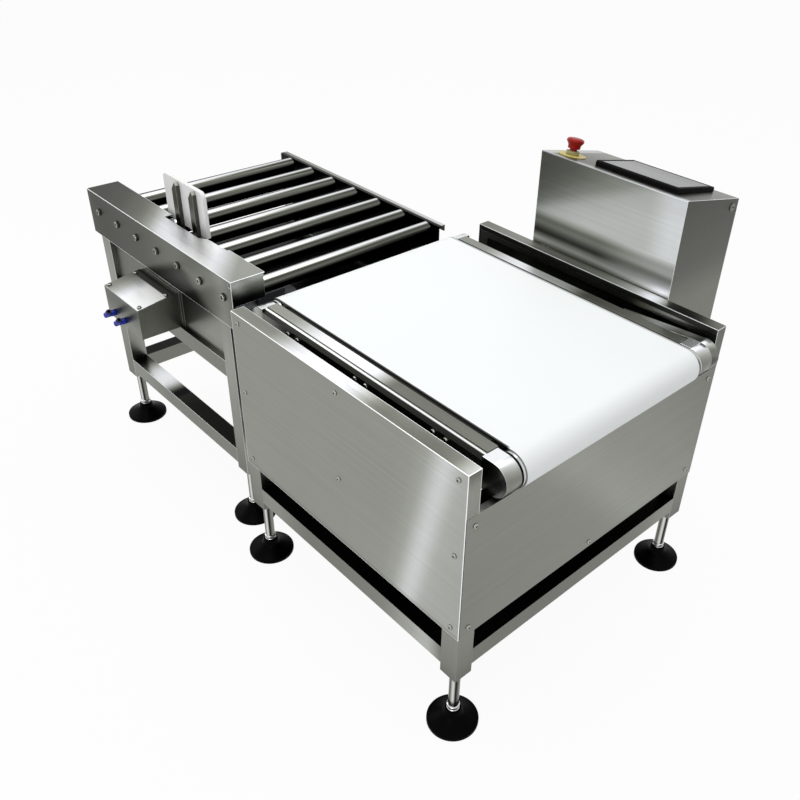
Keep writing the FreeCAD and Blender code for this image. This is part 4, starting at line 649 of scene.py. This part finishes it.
def bed_panel_tone(finish, tone):
    """Steel outside the bed. Inside, under the rollers, the studio's light hardly reaches."""
    low, high = box_of("bed_panels")
    x, y = finish.along(ENTRY), finish.along(FAR)
    outer = 2
    outside = finish.most(*[
        finish.product(finish.facing(way), finish.smooth(spot, side + 2 * inwards, side + inwards))
        for way, spot, side, inwards in ((NEAR, y, low.y, outer), (FAR, y, high.y, -outer),
                                         (EXIT, x, low.x, outer), (ENTRY, x, high.x, -outer))])
    inside = finish.blend(level(12), level(75), finish.facing(FAR))
    return finish.blend(inside, tone, outside)


def far_rail_tone(finish, tone):
    """The far rail's top is bright, and what lies on the rollers' side of it is painted dark, as
    shade.
    """
    y = finish.along(FAR)
    not_outer = finish.math("SUBTRACT", 1, finish.facing(FAR))
    dark = finish.product(finish.smooth(y, 606, 602), finish.smooth(y, 520, 580), not_outer)
    return finish.blend(tone, level(20), dark)


def lid_fold_tone(finish, tone):
    """Painted shade: the valve box's lid is dark where it folds up under the bed's cover."""
    return finish.blend(tone, level(68), finish.smooth(finish.along(FAR), 20, 24))


def moved(stops, distance):
    return [(spot + distance, grey) for spot, grey in stops]


def finish_bed_frame():
    front = [(-1362, 100), (-1310, 90), (-1200, 96), (-1060, 106), (-950, 124), (-870, 115),
             (-790, 128), (-750, 146), (-710, 118)]
    top = [(-1362, 84), (-1270, 88), (-1190, 102), (-1110, 131), (-1070, 176), (-1035, 224),
           (-950, 248), (-835, 255), (-800, 238), (-740, 178), (-705, 165)]
    end = [(598, 30), (606, 75), (615, 105), (625, 130), (636, 170)]
    flange_lean, flange_y = 1.2, 60
    faces = [(NEAR, ENTRY, front), (UP, (1, flange_lean, 0), moved(top, flange_lean * flange_y)),
             (ENTRY, UP, end), (EXIT, UP, [(520, 130), (636, 170)]),
             (FAR, ENTRY, [(-1362, 115), (-700, 125)])]
    steel = brushed("bed_cover", 60, "X", faces, edge=255, edge_highlight=1.0, rim=0.6,
                    extra=bed_cover_tone, outline="bed_side_cover")
    cover(steel, "bed_side_cover", edge=1.0)

    side = [(138, 116), (200, 127), (250, 137), (350, 148), (450, 157), (540, 143)]
    end = [(138, 140), (200, 151), (350, 156), (450, 151), (540, 142)]
    faces = [(NEAR, UP, side), (ENTRY, UP, end)]
    cover(brushed("bed_leg", 135, "Z", faces, edge=240, edge_highlight=0.9), "bed_legs", edge=2.0)

    side = [(-1290, 142), (-1200, 142), (-1110, 130), (-770, 128)]
    top = [(-1290, 6), (-1240, 98), (-1200, 214), (-1125, 250), (-1085, 85), (-1040, 49),
           (-950, 60), (-790, 104)]
    faces = [(NEAR, ENTRY, side), (UP, ENTRY, top)]
    cover(brushed("bed_tube", 125, "X", faces, edge=205), "bed_rails", edge=1.6)
    cover(brushed("link", 125, "X", edge=205), "module_links", edge=1.2)

    face = [(-1290, 105), (-1130, 112), (-1105, 90), (-1078, 46), (-960, 44), (-905, 62),
            (-835, 100), (-780, 142), (-600, 146)]
    faces = [(NEAR, (1, 0, -1.3), moved(face, -682))]
    cover(brushed("bed_panel", 120, "X", faces, extra=bed_panel_tone), "bed_panels")
    faces = [(UP, ENTRY, [(-1320, 150), (-1100, 170), (-680, 212)])]
    rail = brushed("roller_rail", 120, "X", faces, edge=150, extra=far_rail_tone)
    cover(rail, "roller_rails", edge=0.6)


def finish_rollers_and_pusher():
    rollers = polished("roller", 205, rough=(0.1, 0.2), rim=0.0, extra=roller_tone)
    for number in range(1, 8):
        cover(rollers, "bed_roller_%d" % number)
    cover(polished("axle", 120), "roller_axles")
    # Painted shade: the pusher's cylinder and carriage are dark grey, as they stand in the shade
    # under the bed.
    cover(satin("cylinder", (level(60),) * 3, metallic=0.8), "pusher_cylinder", edge=0.6)
    cover(satin("pusher_saddle", (level(90),) * 3, metallic=0.8), "pusher_carriage", edge=0.6)
    cover(satin("white_plate", (0.86, 0.86, 0.85), rough=(0.4, 0.5)), "pusher_plate", edge=1.2)
    cover(brushed("arm", 85, "Z", edge=150), "pusher_arms", edge=0.8)


def finish_valve_box():
    faces = [(NEAR, UP, [(429, 138), (450, 130), (470, 112), (500, 103)]),
             (ENTRY, FAR, [(-48, 150), (-20, 155), (0, 148), (22, 135), (45, 105)])]
    cover(brushed("valve_box", 120, "X", faces, edge=190), "valve_box", edge=0.6)
    top = [(-1130, 134), (-1103, 158), (-1079, 200), (-1055, 242), (-1035, 255), (-970, 255)]
    lid = brushed("valve_lid", 130, "X", [(UP, ENTRY, top)], edge=230, extra=lid_fold_tone)
    cover(lid, "valve_box_lid", edge=0.5)


# Finishes of the cabinet. Their stops, too, paint the studio's reflections and shade.

def cabinet_near_face(finish, x, z):
    """Painted reflections: dark at its upper left and pale at its right edge, with bands low down
    where it reflects the conveyor."""
    lean, middle = 2.3, 825
    slant = finish.scaled(z, -lean, finish.math("ADD", x, lean * middle))
    face = finish.ramp(slant, [
        (-520, 118), (-430, 126), (-377, 132), (-310, 145), (-257, 158), (-212, 182), (-100, 190),
        (200, 190)])
    face = finish.blend(face, level(220), finish.product(finish.smooth(x, -225, -160), 0.9))
    left = finish.ramp(z, [
        (622, 105), (634, 205), (640, 180), (650, 88), (660, 86), (672, 122), (684, 114),
        (692, 152), (704, 184)])
    right = finish.ramp(z, [
        (622, 130), (630, 246), (638, 250), (648, 235), (660, 165), (671, 188), (688, 172),
        (704, 218)])
    bands = finish.blend(left, right, finish.smooth(x, -340, -160))
    return finish.blend(bands, face, finish.smooth(z, 697, 707))


def cabinet_top(finish, x, y):
    """Painted reflections: palest along its near fold and at its exit end."""
    top = finish.ramp(y, [(716, 108), (725, 105), (752, 112), (800, 122), (849, 131), (898, 138)])
    fold = finish.ramp(x, [(-508, 150), (-138, 216)])
    top = finish.blend(top, fold, finish.smooth(y, 719, 713))
    return finish.blend(top, level(200), finish.smooth(x, -478, -490))


def cabinet_tone(finish, tone):
    """Painted reflections on the cabinet's near face and sloped top, and painted highlight lines
    along their edges.
    """
    x, y, z = (finish.along(way) for way in (ENTRY, FAR, UP))
    tone = finish.blend(tone, cabinet_near_face(finish, x, z), finish.facing(NEAR))
    slope = finish.facing((0, math.sin(SLOPE), math.cos(SLOPE)), 0.98, 0.995)
    tone = finish.blend(tone, cabinet_top(finish, x, y), slope)
    # Painted highlight: pale lines along the folds and corners at the near face and the exit end.
    lines = finish.most(finish.product(slope, finish.smooth(y, 704.9, 704.1)),
                        finish.product(finish.facing(NEAR), finish.smooth(z, 828.3, 828.9)),
                        finish.product(slope, finish.smooth(x, -140.8, -140)),
                        finish.product(finish.facing(ENTRY), finish.smooth(y, 704, 703.4)))
    return finish.blend(tone, level(245), finish.product(lines, 0.8))


def screen_tone(finish, tone):
    """A matt screen with a faint painted reflection of a paler patch of sky in it and a dark band
    along its far side.
    """
    x, y = finish.along(ENTRY), finish.along(FAR)
    slanted = finish.smooth(finish.scaled(y, 0.8, x), 345, 340)
    patch = finish.product(slanted, finish.smooth(y, 800, 796))
    tone = finish.blend(tone, finish.product(tone, 1.12), patch)
    return finish.blend(tone, finish.product(tone, 0.3), finish.smooth(y, 819, 824))


def finish_cabinet():
    end = [(330, 126), (600, 122), (650, 107), (680, 98), (740, 92), (800, 85), (825, 82)]
    faces = [(ENTRY, UP, end), (EXIT, UP, [(330, 130), (830, 165)])]
    shell = brushed("cabinet", 120, "X", faces, edge=255, edge_highlight=1.0, extra=cabinet_tone)
    cover(shell, "cabinet_shell", edge=1.0)
    face = [(-200, 130), (100, 165), (300, 150), (700, 135)]
    cover(brushed("door", 150, "Z", [(FAR, (1, 0, 1), face)]), "cabinet_door")
    bezel = satin("bezel", (0.002, 0.002, 0.0022), rough=(0.5, 0.65), specular=0.06)
    cover(bezel, "screen_bezel", edge=1.0)
    screen = satin("screen", (0.07, 0.074, 0.077), rough=(0.1, 0.16), specular=0.2,
                   extra=screen_tone)
    cover(screen, "screen_glass")
    cover(satin("stop_ring", (0.6, 0.5, 0.14)), "stop_plate", edge=0.3)
    cover(satin("stop_collar", (0.3, 0.28, 0.12)), "stop_collar", edge=0.4)


# Small parts that are built here in full. Each profile is (ring, distance along the axis).

WEIGH_FEET = [(x, y, 143.5) for x in (-21.5, -628.5) for y in (21.5, 678.5)]
BED_FEET = [(x, y, 138.0) for x in (-1303, -760) for y in (63.5, 593.5)]
PAD = [(0, 0), (48.8, 0), (49.7, 0.5), (50, 1.6), (50, 7.2), (49.4, 8.5), (47.9, 9.2), (45.5, 10),
       (22, 22.6), (19.8, 24.4), (18.2, 27), (16.4, 35), (15.6, 36.9), (14.2, 37.6), (0, 37.6)]
STEM_BASE = [(0, 37), (11.6, 37), (12.4, 37.8), (12.4, 40), (11.6, 40.8), (9.2, 41.2), (9.2, 44),
             (11.8, 44.5), (12.6, 45.3), (12.6, 47.6), (11.8, 48.4), (10.4, 49)]
STEM_TOP = [(10.4, -12.5), (9.8, -11.9), (7.9, -11.9), (7.9, 36.8), (6.9, 37.8), (0, 37.8)]
NUT = [(8.05, -9.9), (11.2, -9.9), (Six(12), -8.7), (Six(12), -1.3), (11.2, -0.1), (8.05, -0.1),
       (8.05, -9.9)]
SCREW = [(0, -0.2), (5.2, -0.2), (5.2, 0.5), (4.8, 1.5), (3.9, 2.2), (2.6, 2.6), (Six(1.75), 2.6),
         (Six(1.65), 0.9), (0, 0.9)]
STOP_HEAD = [(0, 6), (7.8, 6), (7.8, 14.6), (12.6, 15), (13.4, 15.6), (13.6, 17), (13.8, 21),
             (14.6, 23.4), (16.6, 26.4), (18.2, 28.4), (18.9, 29.8), (19, 31.6), (18.6, 33.2),
             (17.2, 34.8), (14.8, 36), (11, 36.7), (6, 37), (0, 37)]
ELBOW_STEM = [(0, -0.2), (6.3, -0.2), (Six(7), 0.8), (Six(7), 9), (6.4, 10), (6.2, 12), (6.2, 23),
              (5.2, 25.2), (3, 26), (0, 26)]
ELBOW_ARM = [(0, -4), (4, -4), (6, -2.4), (6.2, 0), (6.2, 17.6), (5.8, 18.4), (5.3, 18.6),
             (5.3, 21.2), (4.8, 21.9), (3.3, 21.9), (3.1, 21), (3.1, 9), (0, 9)]
LOCK = [(0, -1.5), (5.9, -1.5), (5.9, 0), (9, 0), (9, 1.4), (8.5, 2), (7.2, 2.1), (6.6, 2.9),
        (5.2, 3), (Slot(4.6, 0.9), 3), (Slot(4.5, 0.8), 1), (0, 1)]

# Which steps of a profile take the second material: a washer and the dip in a bolt's head, and a
# screw's rim and its socket, all dark as painted shade, and the mouth of an elbow.
WASHER_PARTS = [(0, 1), (4, 0), (8, 1)]
SCREW_PARTS = [(1, 1), (2, 0), (6, 1)]
ELBOW_PARTS = [(6, 1)]


def raised(profile, height):
    return [(ring, spot + height) for ring, spot in profile]


def build_feet(bright, dark):
    stems, pads, nuts = Shape(), Shape(), Shape()
    for x, y, top in WEIGH_FEET + BED_FEET:
        spot = at(x, y, 0)
        stems.lathe(spot, UP, STEM_BASE + raised(STEM_TOP, top), 40)
        pads.lathe(spot, UP, PAD, 72)
        nuts.lathe(spot, UP, raised(NUT, top), 48)
    stems.finish("stems", "frame", "bright_steel", bright, stands_for=["foot_stems"])
    pads.finish("pads", "frame", "black_plastic", dark, stands_for=["foot_pads"])
    nuts.finish("nuts", "frame", "bright_steel", bright, stands_for=["foot_nuts"])


def bolt_profile(flats, head):
    """A washer and a hexagon head, by the width across its flats and its height."""
    washer = 0.13 * flats
    return [(0, -0.3), (0.68 * flats, -0.3), (0.68 * flats, washer - 0.4), (0.65 * flats, washer),
            (0.52 * flats, washer), (Six(flats / 2), washer + 0.01), (Six(flats / 2), head - 0.9),
            (0.46 * flats, head), (0.33 * flats, head), (0.3 * flats, head - 0.35),
            (0, head - 0.35)]


def build_bolts(bright, bolt_shade):
    """Bolts on the rollers' axles, in pairs on the conveyor's rails and on the cabinet's back."""
    bolts = Shape()
    large, small = bolt_profile(13, 5.5), bolt_profile(10, 4)
    first_axle, axle_pitch, axle_z = -1302.3, 92.6, 598
    for index in range(7):
        x = first_axle + axle_pitch * index
        bolts.lathe(at(x, 41.5, axle_z), NEAR, large, 36, 0.3 * index, WASHER_PARTS)
        bolts.lathe(at(x, 598, axle_z), FAR, large, 36, 0.5 * index, WASHER_PARTS)
    first_tie, tie_pitch, apart, tie_z = -132, 204.5, 15, 589.5
    guard_end = -216
    for index in range(3):
        middle = first_tie - tie_pitch * index
        for x in (middle - apart, middle + apart):
            bolts.lathe(at(x, 65.5, tie_z), NEAR, small, 36, 0.4 * index, WASHER_PARTS)
            if x < guard_end:
                bolts.lathe(at(x, 634.5, tie_z), FAR, small, 36, 0.7 * index, WASHER_PARTS)
    for x in (-460, -186):
        for z in (608.5, 412.5):
            bolts.lathe(at(x, 704, z), FAR, large, 36, 0.2, WASHER_PARTS)
    bolts.finish("bolts", "frame", "bright_steel", bright, bolt_shade, stands_for=["hex_bolts"],
                 angle=30)


def build_screws(bright, dark):
    """Button screws in the side covers, the end panels and the valve box's lid."""
    places = []
    for x in (-20.5, -629.5):
        for z in (602, 444.5, 276):
            places += [(at(x, 0, z), NEAR), (at(x, WEIGH_WIDTH, z), FAR)]
    for z in (602, 412.5):
        places.append((at(-WEIGH_LENGTH / 2, 0, z), NEAR))
    for x, way in ((0, ENTRY), (-WEIGH_LENGTH, EXIT)):
        for y, z in ((23, 510), (23, 276), (677, 510), (677, 276), (350, 270)):
            places.append((at(x, y, z), way))
    for x in (-1120, -979):
        places += [(at(x, -39, 504.1), UP), (at(x, 25.5, 513.9), UP)]
    screws = Shape()
    for number, (spot, way) in enumerate(places):
        screws.lathe(spot, way, SCREW, 30, 0.7 * number, SCREW_PARTS)
    screws.finish("screws", "frame", "bright_steel", bright, dark, stands_for=["cover_screws"],
                  angle=40)


def build_stop_button(red):
    head = Shape()
    head.lathe(on_slope(-463, 49, 0), SLOPE_TURN @ Vector(UP), STOP_HEAD, 64)
    head.finish("stop_head", "stop_button", "red", red, stands_for=["stop_button"], angle=50)


def build_elbows(blue, dark):
    elbows = Shape()
    for x in (-1097.5, -1047.5):
        elbows.lathe(at(x, -48, 445), NEAR, ELBOW_STEM, 36)
        elbows.lathe(at(x, -67, 445), (1, 0, 1), ELBOW_ARM, 36, parts=ELBOW_PARTS)
    elbows.finish("elbows", "frame", "blue_plastic", blue, dark, stands_for=["air_fittings"])


def build_lock(bright):
    lock = Shape()
    lock.lathe(at(-138, 880, 775.8), ENTRY, LOCK, 64, turn_by=math.pi / 2)
    lock.finish("lock", "door_lock", "bright_steel", bright, stands_for=["door_lock"])


def stem_tone(finish, tone):
    """Painted reflections: upright round steel shows a dark stripe between two pale ones."""
    across = finish.dot(finish.normal, (0.7, 0.7, 0))
    stripe = finish.ramp(across, [
        (-1, 120), (-0.7, 100), (-0.3, 210), (0, 175), (0.15, 60), (0.5, 80), (0.8, 130),
        (1, 110)])
    upward = finish.math("ABSOLUTE", finish.dot(finish.normal, UP))
    return finish.blend(tone, stripe, finish.smooth(upward, 0.6, 0.3))


def build_small_parts():
    bright = polished("bright_steel", 160, rough=(0.14, 0.26), turned_about="Z")
    # Painted shade: a dark steel for the bolts' washers and the dips in their heads, standing for
    # the shade round each head.
    bolt_shade = polished("bolt_shade_steel", 45, rough=(0.3, 0.4), turned_about="Z")
    stem = polished("stem_steel", 205, turned_about="Z", extra=stem_tone)
    # Painted shade: black for the screws' rims and sockets. The elbows' mouths take it too.
    socket = satin("socket", (0.006, 0.006, 0.006), rough=(0.6, 0.8))
    rubber = satin("pad_rubber", (0.0005, 0.0005, 0.0005), rough=(0.3, 0.42), specular=0.03)
    red = satin("stop_red", (0.3, 0.006, 0.004), rough=(0.28, 0.4), specular=0.2)
    blue = satin("air_blue", (0.006, 0.025, 0.36), rough=(0.25, 0.35), specular=0.25)
    build_feet(stem, rubber)
    build_bolts(bright, bolt_shade)
    build_screws(bright, socket)
    build_stop_button(red)
    build_elbows(blue, socket)
    build_lock(polished("lock_steel", 120, turned_about="X"))


make_camera()
make_floor()
make_world()
middle = (0, 0, 0.4)
make_lamp("overhead", (-0.1, 0.2, 2.9), middle, (2.6, 2.2), 31)
make_lamp("front", (1.6, -2.6, 2.2), middle, (1.6, 1.2), 16)
make_lamp("left", (-2.6, -1.2, 2.0), middle, (1.4, 1.4), 12)
finish_covers()
finish_weigh_frame()
finish_conveyor()
finish_bed_frame()
finish_rollers_and_pusher()
finish_valve_box()
finish_cabinet()
build_small_parts()

bpy.context.scene.view_settings.view_transform = "Standard"
